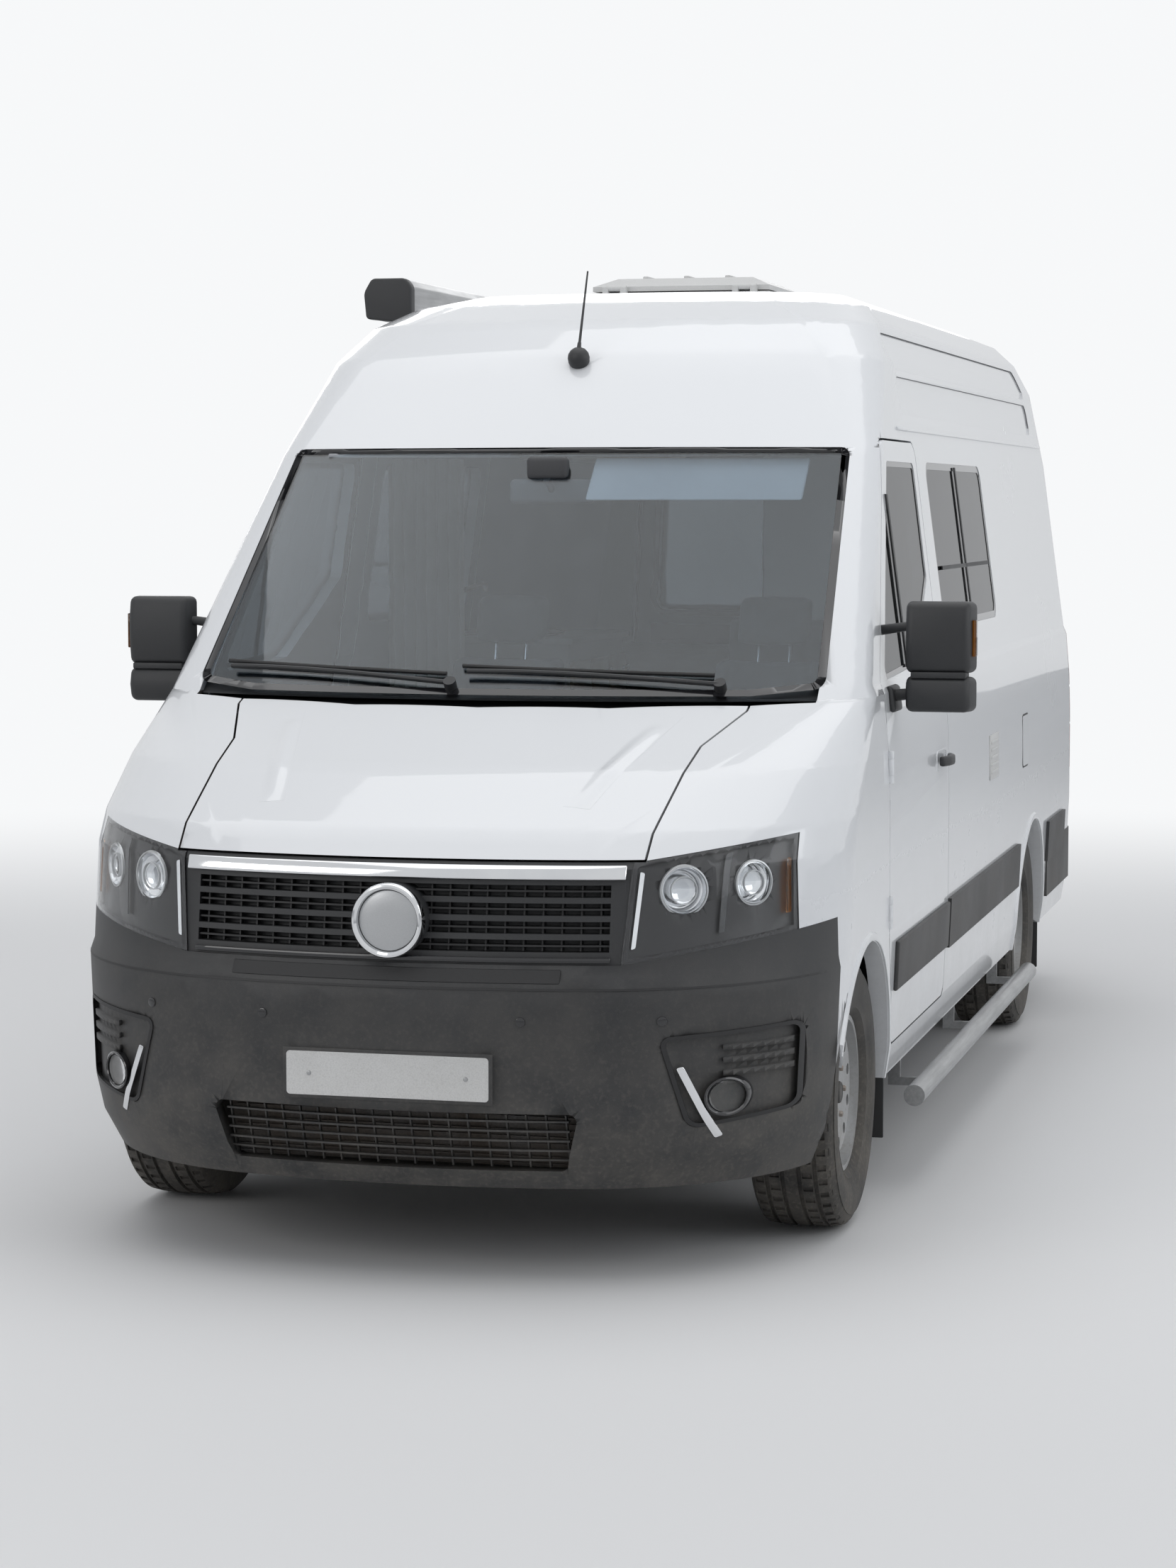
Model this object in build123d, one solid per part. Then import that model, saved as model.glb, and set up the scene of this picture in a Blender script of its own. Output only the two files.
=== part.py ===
from build123d import *
import os
from collections import namedtuple
from math import atan2, cos, radians, sin, sqrt

# Camper van on a panel-van body, in millimetres.
# +X is the vehicle's left, the nose points to -Y, +Z is up and the ground is z = 0.
# Places along the van are written as the distance behind the nose and turned into Y by place().

# Overall sizes
LENGTH = 5986.0
NOSE_BOW = 2200.0
FRONT_AXLE = 1000.0
WHEELBASE = 3640.0
REAR_AXLE = FRONT_AXLE + WHEELBASE
TRACK_HALF = 870.0
MIRROR_REACH = 1240.0
MIRROR_WIDTH = 204.0
MIRROR_DEPTH = 96.0
MIRROR_BOTTOM = 1345.0
MIRROR_TOP = 1652.0
MIRROR_FRONT = 1388.0

# Body shell
WALL = 50.0
PANEL_GAP = 6.0
SEAT_GAP = 0.3
GLASS_SET_IN = 4.0
GLASS_DEPTH = 9.0
SILL_BOTTOM = 330.0
WAIST = 1400.0
ROOF_SEAM = 2140.0
BUMPER_TOP = 800.0
BONNET_EDGE = 1046.0
BONNET_INSET = 60.0
GRILLE_LOW_HALF = 560.0
GRILLE_TOP_HALF = 580.0
SHELF_TOP = 1290.0
BUMPER_END = 620.0
FLOOR_TOP = 570.0
FLOOR_THICKNESS = 40.0
ARCH_RADIUS = 405.0

# Wheels and tyres
TYRE_RADIUS = 356.0
TYRE_WIDTH = 235.0
RIM_RADIUS = 203.0
RIM_WIDTH = 178.0
RIM_WALL = 9.0
HUB_OFFSET = 60.0
HUB_BORE = 60.0
DISC_DEPTH = 130.0
DRUM_DEPTH = 140.0
BOLT_CIRCLE = 130.0
BOLT_COUNT = 5
BOLT_HOLE_RADIUS = 7.5
DISC_RADIUS = 150.0
DISC_THICKNESS = 24.0

# Steering axes, leaning inwards: where they pass at ball-joint and strut height
KINGPIN_LOW = (765.0, 215.0)
KINGPIN_HIGH = (612.0, 906.0)
STRUT_RADIUS = 26.0
KINGPIN_RADIUS = 22.0
KINGPIN_TOP = 600.0
ARM_TOP = 206.0

# Number plate seat and tow-bar holes
PLATE_HALF_WIDTH = 260.0
PLATE_HALF_HEIGHT = 55.0
PLATE_HEIGHT = 525.0
TOW_HOLE_X = 480.0
TOW_HOLES = (5600.0, 5760.0)
TOW_HOLE_RADIUS = 6.5
TOW_HOLE_DEPTH = 45.0

# Frame rails
RAIL_INNER = 440.0
RAIL_OUTER = 520.0
RAIL_BOTTOM = 430.0
RAIL_FRONT = 470.0
RAIL_BACK = 5880.0
CROSS_MEMBERS = (480.0, 1500.0, 2350.0, 3450.0, 4050.0, 5250.0, 5800.0)
CROSS_MEMBER_WIDTH = 70.0
CROSS_MEMBER_HEIGHT = 60.0

# Engine bay: wall to the cab, sheet thickness and the front wheel houses
BULKHEAD_FRONT = 1180.0
BULKHEAD_BACK = 1200.0
SHEET = 15.0
HOUSE_INNER = 530.0
HOUSE_FRONT = 545.0
HOUSE_BACK = 1455.0
HOUSE_TOP = 945.0

# Camper fittings
BED_FRONT = 4320.0
BED_BACK = 5780.0
BED_TOP = 1230.0
BED_THICKNESS = 50.0
BED_LEG_WIDTH = 240.0
MATTRESS_THICKNESS = 130.0
TABLE_TOP = 1270.0
TABLE_THICKNESS = 30.0
LOCKER_BOTTOM = 2080.0
LOCKER_TOP = 2330.0
LOCKER_INNER = 560.0

# Doors
DOOR_HINGE_X = 1020.0
DOOR_FRONT = 1336.0
HINGE_RADIUS = 10.0
HINGE_LENGTH = 44.0
REAR_HINGE_X = 800.0
REAR_HINGE_BACK = 5957.0

# Bonnet hinges: place of the axis and of both hinges
BONNET_HINGE = (930.0, 1350.0)
BONNET_HINGE_X = (-640.0, 640.0)
HINGE_COVER = 14.0

# Roof hatch
HATCH_CENTRE = 3560.0
HATCH_HALF_LENGTH = 330.0
HATCH_HALF_WIDTH = 300.0
HATCH_FRAME_HEIGHT = 26.0
HATCH_LID_HEIGHT = 46.0

# Headlamps: lens and the bowls behind it as (distance from the middle, height, radius)
LENS_THICKNESS = 4.0
LAMP_BOWLS = [(700.0, 975.0, 58.0), (850.0, 985.0, 52.0)]
LAMP_BOWL_DEPTH = 44.0
LAMP_AIR = 12.0

# Grille slots and the fins in the bumper's corner recesses
SLOT_ROWS = 4
SLOT_PITCH = 44.0
SLOT_HEIGHT = 30.0
SLOT_BOTTOM = 830.0
BADGE_HEIGHT = 905.0
BADGE_RADIUS = 90.0
POCKET_DEPTH = 14.0
FIN_HEIGHTS = (520.0, 552.0, 584.0)
FIN_HEIGHT = 14.0

# Pressed-in panels along the sides of the high roof: (bottom, top)
ROOF_PANELS = [(2185.0, 2300.0), (2322.0, 2432.0)]
ROOF_PANEL_DEPTH = 5.0

# Tubes under the sills
SIDE_BAR_X = 1062.0
SIDE_BAR_Z = 262.0
SIDE_BAR_RADIUS = 30.0
SIDE_BAR_ENDS = (1530.0, 4170.0)
SIDE_BAR_BRACKETS = (1760.0, 2850.0, 3900.0)

# Outer skin: plan sections from the bumper's lip to the roof's crown.
# lift is the share of a wall's thickness that is taken downwards instead of inwards.
Section = namedtuple("Section", "z nose tail half front_radius rear_radius lift")
SECTIONS = [
    Section(240.0, 90.0, 5930.0, 960.0, 660.0, 90.0, 0.0),
    Section(330.0, 25.0, 5935.0, 992.0, 690.0, 90.0, 0.0),
    Section(420.0, 0.0, 5940.0, 1006.0, 700.0, 95.0, 0.0),
    Section(745.0, 0.0, 5945.0, 1020.0, 700.0, 95.0, 0.0),
    Section(775.0, 30.0, 5945.0, 1020.0, 700.0, 95.0, 0.0),
    Section(1030.0, 66.0, 5944.0, 1020.0, 700.0, 95.0, 0.0),
    Section(1110.0, 150.0, 5943.0, 1019.0, 650.0, 95.0, 0.0),
    Section(1240.0, 420.0, 5942.0, 1015.0, 480.0, 95.0, 0.0),
    Section(1400.0, 857.0, 5940.0, 1002.0, 170.0, 95.0, 0.0),
    Section(1430.0, 890.0, 5939.0, 990.0, 130.0, 95.0, 0.0),
    Section(2065.0, 1593.0, 5924.0, 905.0, 150.0, 100.0, 0.0),
    Section(2346.0, 1910.0, 5900.0, 850.0, 220.0, 110.0, 0.0),
    Section(2460.0, 2110.0, 5870.0, 795.0, 260.0, 140.0, 0.3),
    Section(2530.0, 2330.0, 5825.0, 725.0, 300.0, 170.0, 0.6),
    Section(2575.0, 2600.0, 5740.0, 610.0, 300.0, 200.0, 0.85),
    Section(2590.0, 2850.0, 5600.0, 440.0, 250.0, 200.0, 1.0),
]
ROOF_TOP = SECTIONS[-1].z

# Outlines as (distance behind the nose, height)
CAB_DOOR = [(1440, 420), (2455, 420), (2455, 1600), (2470, 2100), (1885, 2100),
            (1336, 1440), (1336, 740), (1425, 560)]
CAB_WINDOW = [(1400, 1430), (1960, 1450), (2230, 1590), (2395, 1690), (2408, 2040), (1907, 2040)]
SLIDING_DOOR = [(2620, 430), (3931, 430), (3931, 2252), (2620, 2252)]
SLIDING_WINDOW = [(2705, 1530), (3846, 1530), (3846, 2045), (2705, 2045)]
LIVING_WINDOW = [(2640, 1530), (3890, 1530), (3890, 2045), (2640, 2045)]

# Outlines as (distance from the middle, height)
WINDSCREEN = [(-885, 1426), (-700, 1408), (700, 1408), (885, 1426), (828, 2078), (-828, 2078)]
GRILLE = [(-GRILLE_LOW_HALF, BUMPER_TOP), (GRILLE_LOW_HALF, BUMPER_TOP),
          (GRILLE_TOP_HALF, BONNET_EDGE), (-GRILLE_TOP_HALF, BONNET_EDGE)]
HEADLAMP = [(GRILLE_LOW_HALF, BUMPER_TOP), (936, 862), (926, 1098), (GRILLE_TOP_HALF, BONNET_EDGE)]
BUMPER = [(-1100, 200), (1100, 200), (1100, 888), (936, 862), (GRILLE_LOW_HALF, BUMPER_TOP),
          (-GRILLE_LOW_HALF, BUMPER_TOP), (-936, 862), (-1100, 888)]
BUMPER_POCKET = [(715, 395), (945, 420), (955, 640), (650, 625)]
REAR_DOOR = [(PANEL_GAP / 2, 640), (795, 640), (795, 1450), (742, 2400), (PANEL_GAP / 2, 2400)]
REAR_WINDOW = [(120, 1480), (690, 1480), (665, 2060), (120, 2060)]

# Outline as (distance from the middle, distance behind the nose)
BONNET_REAR = [(704, 934), (350, 831), (0, 801), (-350, 831), (-704, 934)]
BONNET = [(-588, -40), (588, -40), (632, 670), (704, 905)] + BONNET_REAR + [(-704, 905), (-632, 670)]
COWL = [(870, 1015)] + BONNET_REAR + [(-870, 1015), (-870, 1330), (870, 1330)]


def place(distance):
    """Y coordinate of a place at this distance behind the nose."""
    return distance - LENGTH / 2


def plan_wire(section, inset):
    """Plan outline at one height: bowed nose, round corners, straight sides, flat tail."""
    half = section.half - inset
    bow = NOSE_BOW - inset
    front = max(section.front_radius - inset, 20.0)
    rear = max(section.rear_radius - inset, 20.0)
    nose = place(section.nose + inset)
    tail = place(section.tail - inset)
    z = section.z - section.lift * inset
    reach = sqrt((bow - front) ** 2 - (half - front) ** 2)
    corner_y = nose + bow - reach
    turn = atan2(-reach, half - front)
    join = (bow * cos(turn), nose + bow + bow * sin(turn))
    knee = (half - front + front * cos(turn / 2), corner_y + front * sin(turn / 2))
    heel = (half - rear + rear * cos(radians(45)), tail - rear + rear * sin(radians(45)))
    edges = [Edge.make_three_point_arc((-join[0], join[1], z), (0, nose, z), (join[0], join[1], z))]
    edges.append(Edge.make_three_point_arc((join[0], join[1], z), (knee[0], knee[1], z), (half, corner_y, z)))
    edges.append(Edge.make_line((half, corner_y, z), (half, tail - rear, z)))
    edges.append(Edge.make_three_point_arc((half, tail - rear, z), (heel[0], heel[1], z), (half - rear, tail, z)))
    edges.append(Edge.make_line((half - rear, tail, z), (rear - half, tail, z)))
    edges.append(Edge.make_three_point_arc((rear - half, tail, z), (-heel[0], heel[1], z), (-half, tail - rear, z)))
    edges.append(Edge.make_line((-half, tail - rear, z), (-half, corner_y, z)))
    edges.append(Edge.make_three_point_arc((-half, corner_y, z), (-knee[0], knee[1], z), (-join[0], join[1], z)))
    return Wire(edges)


def body_core(inset):
    """The van's whole outer form, drawn in by a wall thickness."""
    return Solid.make_loft([plan_wire(section, inset) for section in SECTIONS], ruled=True)


def prism(points, radius, push):
    """Closed outline with rounded corners, pushed into a solid."""
    wire = Wire.make_polygon([Vector(*point) for point in points], close=True)
    face = Face(wire)
    if radius:
        face = face.fillet_2d(radius, face.vertices())
    return Solid.extrude(face, Vector(*push))


def x_prism(points, x0, x1, radius=0.0):
    """Outline in side view, between two widths."""
    return prism([(x0, place(s), z) for s, z in points], radius, (x1 - x0, 0, 0))


def y_prism(points, s0, s1, radius=0.0):
    """Outline in front view, between two distances behind the nose."""
    return prism([(x, place(s0), z) for x, z in points], radius, (0, s1 - s0, 0))


def z_prism(points, z0, z1, radius=0.0):
    """Outline in plan, between two heights."""
    return prism([(x, place(s), z0) for x, s in points], radius, (0, 0, z1 - z0))


def block(x0, x1, s0, s1, z0, z1):
    """Box between two widths, two distances behind the nose and two heights."""
    return Solid.make_box(x1 - x0, s1 - s0, z1 - z0, Plane(origin=(x0, place(s0), z0)))


def rod(start, end, radius):
    """Round bar between two points, each (x, distance behind the nose, z)."""
    a = Vector(start[0], place(start[1]), start[2])
    b = Vector(end[0], place(end[1]), end[2])
    return Solid.make_cylinder(radius, (b - a).length, Plane(origin=a, z_dir=b - a))


def drum(axle, radius, x0, x1):
    """Round bar across the van on a wheel's axis."""
    return rod((x0, axle, TYRE_RADIUS), (x1, axle, TYRE_RADIUS), radius)


def other_side(shape):
    """The same shape on the other side of the van."""
    return shape.mirror(Plane.YZ)


def grow(points, gap):
    """Outline whose straight sides all lie a gap further out, with the same corners."""
    count = len(points)
    area = sum(points[i - 1][0] * points[i][1] - points[i][0] * points[i - 1][1] for i in range(count))
    side = 1.0 if area > 0 else -1.0
    grown = []
    for i in range(count):
        (ax, ay), (bx, by), (cx, cy) = points[i - 1], points[i], points[(i + 1) % count]
        first = sqrt((bx - ax) ** 2 + (by - ay) ** 2)
        second = sqrt((cx - bx) ** 2 + (cy - by) ** 2)
        n1 = ((by - ay) / first * side, (ax - bx) / first * side)
        n2 = ((cy - by) / second * side, (bx - cx) / second * side)
        share = gap / (1.0 + n1[0] * n2[0] + n1[1] * n2[1])
        grown.append((bx + share * (n1[0] + n2[0]), by + share * (n1[1] + n2[1])))
    return grown


def rising(half, s0, s1, z, height, draw_in):
    """Low rectangular dome: its top is drawn in on every side."""
    rims = []
    for level, shrink in ((z, 0.0), (z + height, draw_in)):
        corners = [(-half + shrink, s0 + shrink), (half - shrink, s0 + shrink),
                   (half - shrink, s1 - shrink), (-half + shrink, s1 - shrink)]
        rims.append(Wire.make_polygon([Vector(x, place(s), level) for x, s in corners], close=True))
    return Solid.make_loft(rims, ruled=True)


def slab(z0, z1, s0=-100.0, s1=LENGTH + 100.0):
    """Everything between two heights."""
    return block(-1500, 1500, s0, s1, z0, z1)


# Shells that every panel is cut from
OUTER = body_core(0.0)
INNER = body_core(WALL)
SKIN = OUTER - INNER
for low, high in ROOF_PANELS:
    panel = [(2360, low), (5560, low), (5560, high), (2360, high)]
    pressing = (OUTER - body_core(ROOF_PANEL_DEPTH)) & x_prism(panel, -1200, 1200, 40)
    SKIN = SKIN - pressing
GLASS = body_core(GLASS_SET_IN) - body_core(GLASS_SET_IN + GLASS_DEPTH)
CABIN = body_core(WALL + PANEL_GAP + 2.0)

# Cutting forms shared by neighbouring panels
ROOF_ZONE = x_prism([(0, 2078), (2100, 2078), (2170, ROOF_SEAM), (LENGTH, ROOF_SEAM), (LENGTH, 2700), (0, 2700)],
                    -1500, 1500)
WINDSCREEN_ZONE = y_prism(WINDSCREEN, -50, 2300, 30)
GRILLE_ZONE = y_prism(GRILLE, -50, 400)
LAMP_ZONE = y_prism(HEADLAMP, -50, 700)
BUMPER_ZONE = y_prism(BUMPER, -50, BUMPER_END)
BONNET_HOLE = z_prism(grow(BONNET, PANEL_GAP), BONNET_EDGE, 1500)
COWL_ZONE = z_prism(COWL, SHELF_TOP, 1430)
WING_ZONE = block(-1500, 1500, -50, 1434, 200, WAIST)
DOOR_HOLE = x_prism(grow(CAB_DOOR, PANEL_GAP), 600, 1200, 50)
REAR_HOLE = y_prism([(x if x > PANEL_GAP else 0, z) for x, z in grow(REAR_DOOR, PANEL_GAP)], 5600, LENGTH)
SLIDING_HOLE = x_prism(grow(SLIDING_DOOR, PANEL_GAP), -1200, -600, 66)
LIVING_HOLE = x_prism(LIVING_WINDOW, 600, 1200, 60)
HATCH_HOLE = block(-HATCH_HALF_WIDTH + 40, HATCH_HALF_WIDTH - 40, HATCH_CENTRE - HATCH_HALF_LENGTH + 40,
                   HATCH_CENTRE + HATCH_HALF_LENGTH - 40, 2400, 2700)
ARCHES = [drum(axle, ARCH_RADIUS, x0, x1) for axle in (FRONT_AXLE, REAR_AXLE)
          for x0, x1 in ((600, 1200), (-1200, -600))]
LAMP_Z = (860.0, 1420.0)
TAIL_GROOVES = (1038.0, 1188.0)
TAIL_GROOVE = 5.0
TAIL_LAMP_ZONE = block(838, 1200, 5838, LENGTH + 50, *LAMP_Z)
TAIL_LAMP_DEPTH = 26.0
TAIL_LAMP_ROOM = TAIL_LAMP_ZONE - body_core(TAIL_LAMP_DEPTH + SEAT_GAP)
HINGE_HEIGHTS = (800.0, 1200.0)
REAR_HINGE_HEIGHTS = (760.0, 1340.0, 1960.0)


def carve(shape, tools):
    """Take each tool away from a shape."""
    for tool in tools:
        shape = shape - tool
    return shape


def both(shape):
    """A cutting form and its mirror image."""
    return [shape, other_side(shape)]


def barrel(x, s, z0, z1, radius=HINGE_RADIUS):
    """Upright hinge barrel."""
    return rod((x, s, z0), (x, s, z1), radius)


def cab_hinges(part):
    """Left cab door's hinges: 'door' and 'body' barrels and the room cut for each."""
    shapes = []
    half = HINGE_LENGTH / 2
    for z in HINGE_HEIGHTS:
        if part == "door":
            spans = [(z - half, z + half)]
        elif part == "body":
            spans = [(z - 2 * half, z - half - SEAT_GAP), (z + half + SEAT_GAP, z + 2 * half)]
        elif part == "door room":
            spans = [(z - half - SEAT_GAP, z + half + SEAT_GAP)]
        else:
            spans = [(z - 2 * half - 2, z - half), (z + half, z + 2 * half + 2)]
        extra = 1.5 if "room" in part else 0.0
        shapes += [barrel(DOOR_HINGE_X, DOOR_FRONT - PANEL_GAP / 2, a, b, HINGE_RADIUS + extra) for a, b in spans]
    return shapes


def make_front_wings():
    """Wings from the headlamps to the cab doors, with the doors' lower hinge halves."""
    wings = SKIN & WING_ZONE
    wings = carve(wings, [BUMPER_ZONE, GRILLE_ZONE, BONNET_HOLE, COWL_ZONE] + both(LAMP_ZONE) + both(DOOR_HOLE))
    wings = carve(wings, ARCHES[:2] + [slab(0, SILL_BOTTOM)])
    left = wings & block(0, 1500, -100, 1500, 0, 1500)
    left = carve(left, cab_hinges("door room"))
    for piece in cab_hinges("body"):
        left = left + piece
    return [left, other_side(left)]


def make_bodyside(side):
    """One side of the body: pillars, sill, waist and rear corner."""
    half = block(0, 1500, 0, LENGTH + 50, 0, 2700)
    wall = SKIN & half if side > 0 else SKIN & other_side(half)
    tools = [ROOF_ZONE, WINDSCREEN_ZONE, WING_ZONE, COWL_ZONE, slab(0, SILL_BOTTOM)]
    tools += both(DOOR_HOLE) + both(REAR_HOLE) + ARCHES + both(TAIL_LAMP_ROOM)
    tools += [LIVING_HOLE] if side > 0 else [SLIDING_HOLE]
    return [carve(wall, tools)]


def make_roof():
    """High roof with the forehead over the windscreen and the hatch opening."""
    roof = SKIN & ROOF_ZONE
    return [carve(roof, [SLIDING_HOLE, HATCH_HOLE] + both(REAR_HOLE) + both(DOOR_HOLE))]


def make_windscreen():
    return [GLASS & WINDSCREEN_ZONE - ROOF_ZONE]


def make_cowl():
    """Sunk panel between the bonnet and the windscreen, where the wipers stand."""
    well = (body_core(106) - body_core(120)) & block(-870, 870, 770, 1330, SHELF_TOP, 1396)
    rim = (body_core(30) - body_core(120)) & block(-870, 870, 770, 1330, 1394, 1430)
    cowl = well + (rim - WINDSCREEN_ZONE)
    s, _ = BONNET_HINGE
    rooms = [block(x - 30, x + 30, s - 70, s + 14, SHELF_TOP - 10, 1430) for x in BONNET_HINGE_X]
    return [carve(cowl, rooms)]


def bonnet_hinge_room(x):
    """Room for one hinge under the bonnet's rear edge, which still covers it."""
    s, z = BONNET_HINGE
    return block(x - 30, x + 30, s - 18, s + 60, z - 60, z + 100) & body_core(HINGE_COVER)


def bonnet_hinge_posts():
    """Both posts of each bonnet hinge, standing on the shelf."""
    s, z = BONNET_HINGE
    posts = []
    for x in BONNET_HINGE_X:
        for a, b in ((x - 24, x - 10 - SEAT_GAP), (x + 10 + SEAT_GAP, x + 24)):
            posts.append(block(a, b, s - 8, s + 8, SHELF_TOP - 5, z) + rod((a, s, z), (b, s, z), 8))
    return posts


def make_bonnet():
    """Bonnet with an eye for each hinge at its rear corners."""
    bonnet = (OUTER - body_core(BONNET_INSET)) & z_prism(BONNET, BONNET_EDGE + PANEL_GAP, 1500)
    s, z = BONNET_HINGE
    for x in BONNET_HINGE_X:
        bonnet = bonnet - bonnet_hinge_room(x)
        arm = block(x - 10, x + 10, s - 62, s, z - 8, z + 16) & body_core(HINGE_COVER)
        eye = arm + rod((x - 10, s, z), (x + 10, s, z), 8)
        bonnet = bonnet + eye
    return [bonnet]


def make_grille():
    """Slatted panel between the headlamps with a plain round blank in the middle."""
    panel = (body_core(8) - body_core(60)) & GRILLE_ZONE
    slots = body_core(-5) - body_core(42)
    for row in range(SLOT_ROWS):
        z = SLOT_BOTTOM + row * SLOT_PITCH
        panel = panel - (slots & block(-530, 530, -50, 400, z, z + SLOT_HEIGHT))
    disc = rod((0, 12, BADGE_HEIGHT), (0, 99, BADGE_HEIGHT), BADGE_RADIUS)
    disc = disc - rod((0, 0, BADGE_HEIGHT), (0, 16, BADGE_HEIGHT), BADGE_RADIUS - 16)
    return [panel + (disc - body_core(60))]


def corner_face(x, z):
    """Place of the skin's front corner at the lamps' height, and its direction outwards."""
    low = [section for section in SECTIONS if section.z <= z][-1]
    high = [section for section in SECTIONS if section.z > z][0]
    share = (z - low.z) / (high.z - low.z)
    nose = low.nose + share * (high.nose - low.nose)
    radius = low.front_radius
    side = (x - low.half + radius) / radius
    depth = sqrt(1 - side ** 2)
    reach = sqrt((NOSE_BOW - radius) ** 2 - (low.half - radius) ** 2)
    return nose + NOSE_BOW - reach - radius * depth, side, -depth


def make_headlamps():
    """Clear lens of each headlamp."""
    lens = ((OUTER - body_core(LENS_THICKNESS)) & LAMP_ZONE) - BONNET_HOLE
    return [lens, other_side(lens)]


def make_headlamp_units():
    """Housing behind each lens with two round bowls sunk along the skin's own slope."""
    unit = ((body_core(LENS_THICKNESS + SEAT_GAP) - body_core(WALL + 6)) & LAMP_ZONE) - BONNET_HOLE
    air = body_core(LENS_THICKNESS) - body_core(LENS_THICKNESS + LAMP_AIR)
    unit = unit - (air & y_prism(grow(HEADLAMP, -LAMP_AIR), -50, 700))
    for x, z, radius in LAMP_BOWLS:
        s, out_x, out_s = corner_face(x, z)
        mouth = (x + radius * out_x, s + radius * out_s, z)
        floor = (x - LAMP_BOWL_DEPTH * out_x, s - LAMP_BOWL_DEPTH * out_s, z)
        unit = unit - rod(mouth, floor, radius)
    return [unit, other_side(unit)]


def make_front_bumper():
    """Bumper with the lower air intake, the fog lamp corners and the plate's flat."""
    bumper = SKIN & BUMPER_ZONE
    bumper = carve(bumper, ARCHES[:2])
    pocket = (OUTER - body_core(POCKET_DEPTH)) & y_prism(BUMPER_POCKET, -50, BUMPER_END, 30)
    for z in FIN_HEIGHTS:
        pocket = pocket - ((body_core(3) - INNER) & block(790, 930, -50, BUMPER_END, z, z + FIN_HEIGHT))
    bumper = carve(bumper, both(pocket))
    intake = y_prism([(-430, 290), (430, 290), (470, 440), (-470, 440)], -50, 200, 20)
    plate = block(-PLATE_HALF_WIDTH, PLATE_HALF_WIDTH, 0, 30, PLATE_HEIGHT - PLATE_HALF_HEIGHT,
                  PLATE_HEIGHT + PLATE_HALF_HEIGHT)
    return [(bumper - intake) + plate]


def make_cab_door():
    """Left cab door, as thick as the wall, with its window cut and its hinge barrels."""
    door = SKIN & x_prism(CAB_DOOR, 600, 1200, 45)
    door = door - x_prism(CAB_WINDOW, 600, 1200, 30)
    door = carve(door, cab_hinges("body room"))
    for piece in cab_hinges("door"):
        door = door + piece
    return [door]


def make_cab_door_glass():
    return [GLASS & x_prism(CAB_WINDOW, 600, 1200, 30)]


def make_mirror():
    """Left door mirror: housing on two arms that stand on the door."""
    housing = block(MIRROR_REACH - MIRROR_WIDTH, MIRROR_REACH, MIRROR_FRONT, MIRROR_FRONT + MIRROR_DEPTH,
                    MIRROR_BOTTOM, MIRROR_TOP)
    housing = housing.fillet(26, housing.edges())
    middle = MIRROR_FRONT + MIRROR_DEPTH / 2
    inner = MIRROR_REACH - MIRROR_WIDTH
    low = rod((960, middle + 6, MIRROR_BOTTOM + 40), (inner + 30, middle, MIRROR_BOTTOM + 52), 18)
    high = rod((930, middle + 44, MIRROR_TOP - 88), (inner + 30, middle + 6, MIRROR_TOP - 68), 15)
    return [housing + (low - OUTER) + (high - OUTER)]


def make_rear_door():
    """Left rear door with three hinge arms on its outer edge."""
    door = SKIN & y_prism(REAR_DOOR, 5600, LENGTH)
    door = door - y_prism(REAR_WINDOW, 5600, LENGTH, 50)
    for z in REAR_HINGE_HEIGHTS:
        leaf = block(700, REAR_HINGE_X, REAR_HINGE_BACK - 60, REAR_HINGE_BACK + 6, z - 20, z + 20) - INNER
        arm = (leaf - OUTER) + barrel(REAR_HINGE_X, REAR_HINGE_BACK, z - 20, z + 20)
        door = door + arm
    return [door]


def make_rear_door_glass():
    return [GLASS & y_prism(REAR_WINDOW, 5600, LENGTH, 50)]


def rear_hinge_posts():
    """Body halves of the rear door hinges, above and below each door arm."""
    posts = []
    for z in REAR_HINGE_HEIGHTS:
        for a, b in ((z - 40, z - 20 - SEAT_GAP), (z + 20 + SEAT_GAP, z + 40)):
            leaf = block(REAR_HINGE_X, 846, REAR_HINGE_BACK - 60, REAR_HINGE_BACK + 6, a, b)
            posts.append((leaf - OUTER) + barrel(REAR_HINGE_X, REAR_HINGE_BACK, a, b))
    return posts


def make_sliding_door():
    """Sliding door on the right, closed, with its window cut and the guides that carry it."""
    door = SKIN & x_prism(SLIDING_DOOR, -1200, -600, 60)
    door = door - x_prism(SLIDING_WINDOW, -1200, -600, 60)
    for z in (520, 1340):
        door = door + (SKIN & block(-1200, -600, 3900, 3931 + PANEL_GAP, z, z + 40))
    return [door]


def make_side_windows():
    return [GLASS & LIVING_HOLE, GLASS & x_prism(SLIDING_WINDOW, -1200, -600, 60)]


def make_rear_bumper():
    """Bumper with a step under the rear doors, wrapped round both corners."""
    plan = plan_wire(Section(420.0, 0.0, LENGTH, 1016.0, 700.0, 110.0, 0.0), 0.0)
    form = Solid.extrude(Face(plan), Vector(0, 0, 200)) & block(-1500, 1500, 5130, LENGTH + 50, 400, 640)
    form = form - block(-1500, 1500, 5130, 5640, 560, 640)
    return [form - OUTER]


def make_tail_lamps():
    """Tail lamps, each with two grooves that part its three chambers."""
    lamp = TAIL_LAMP_ZONE & (OUTER - body_core(TAIL_LAMP_DEPTH))
    groove = OUTER - body_core(TAIL_GROOVE)
    for z in TAIL_GROOVES:
        lamp = lamp - (groove & block(800, 1200, 5700, LENGTH, z, z + TAIL_GROOVE))
    return [lamp, other_side(lamp)]


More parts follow.
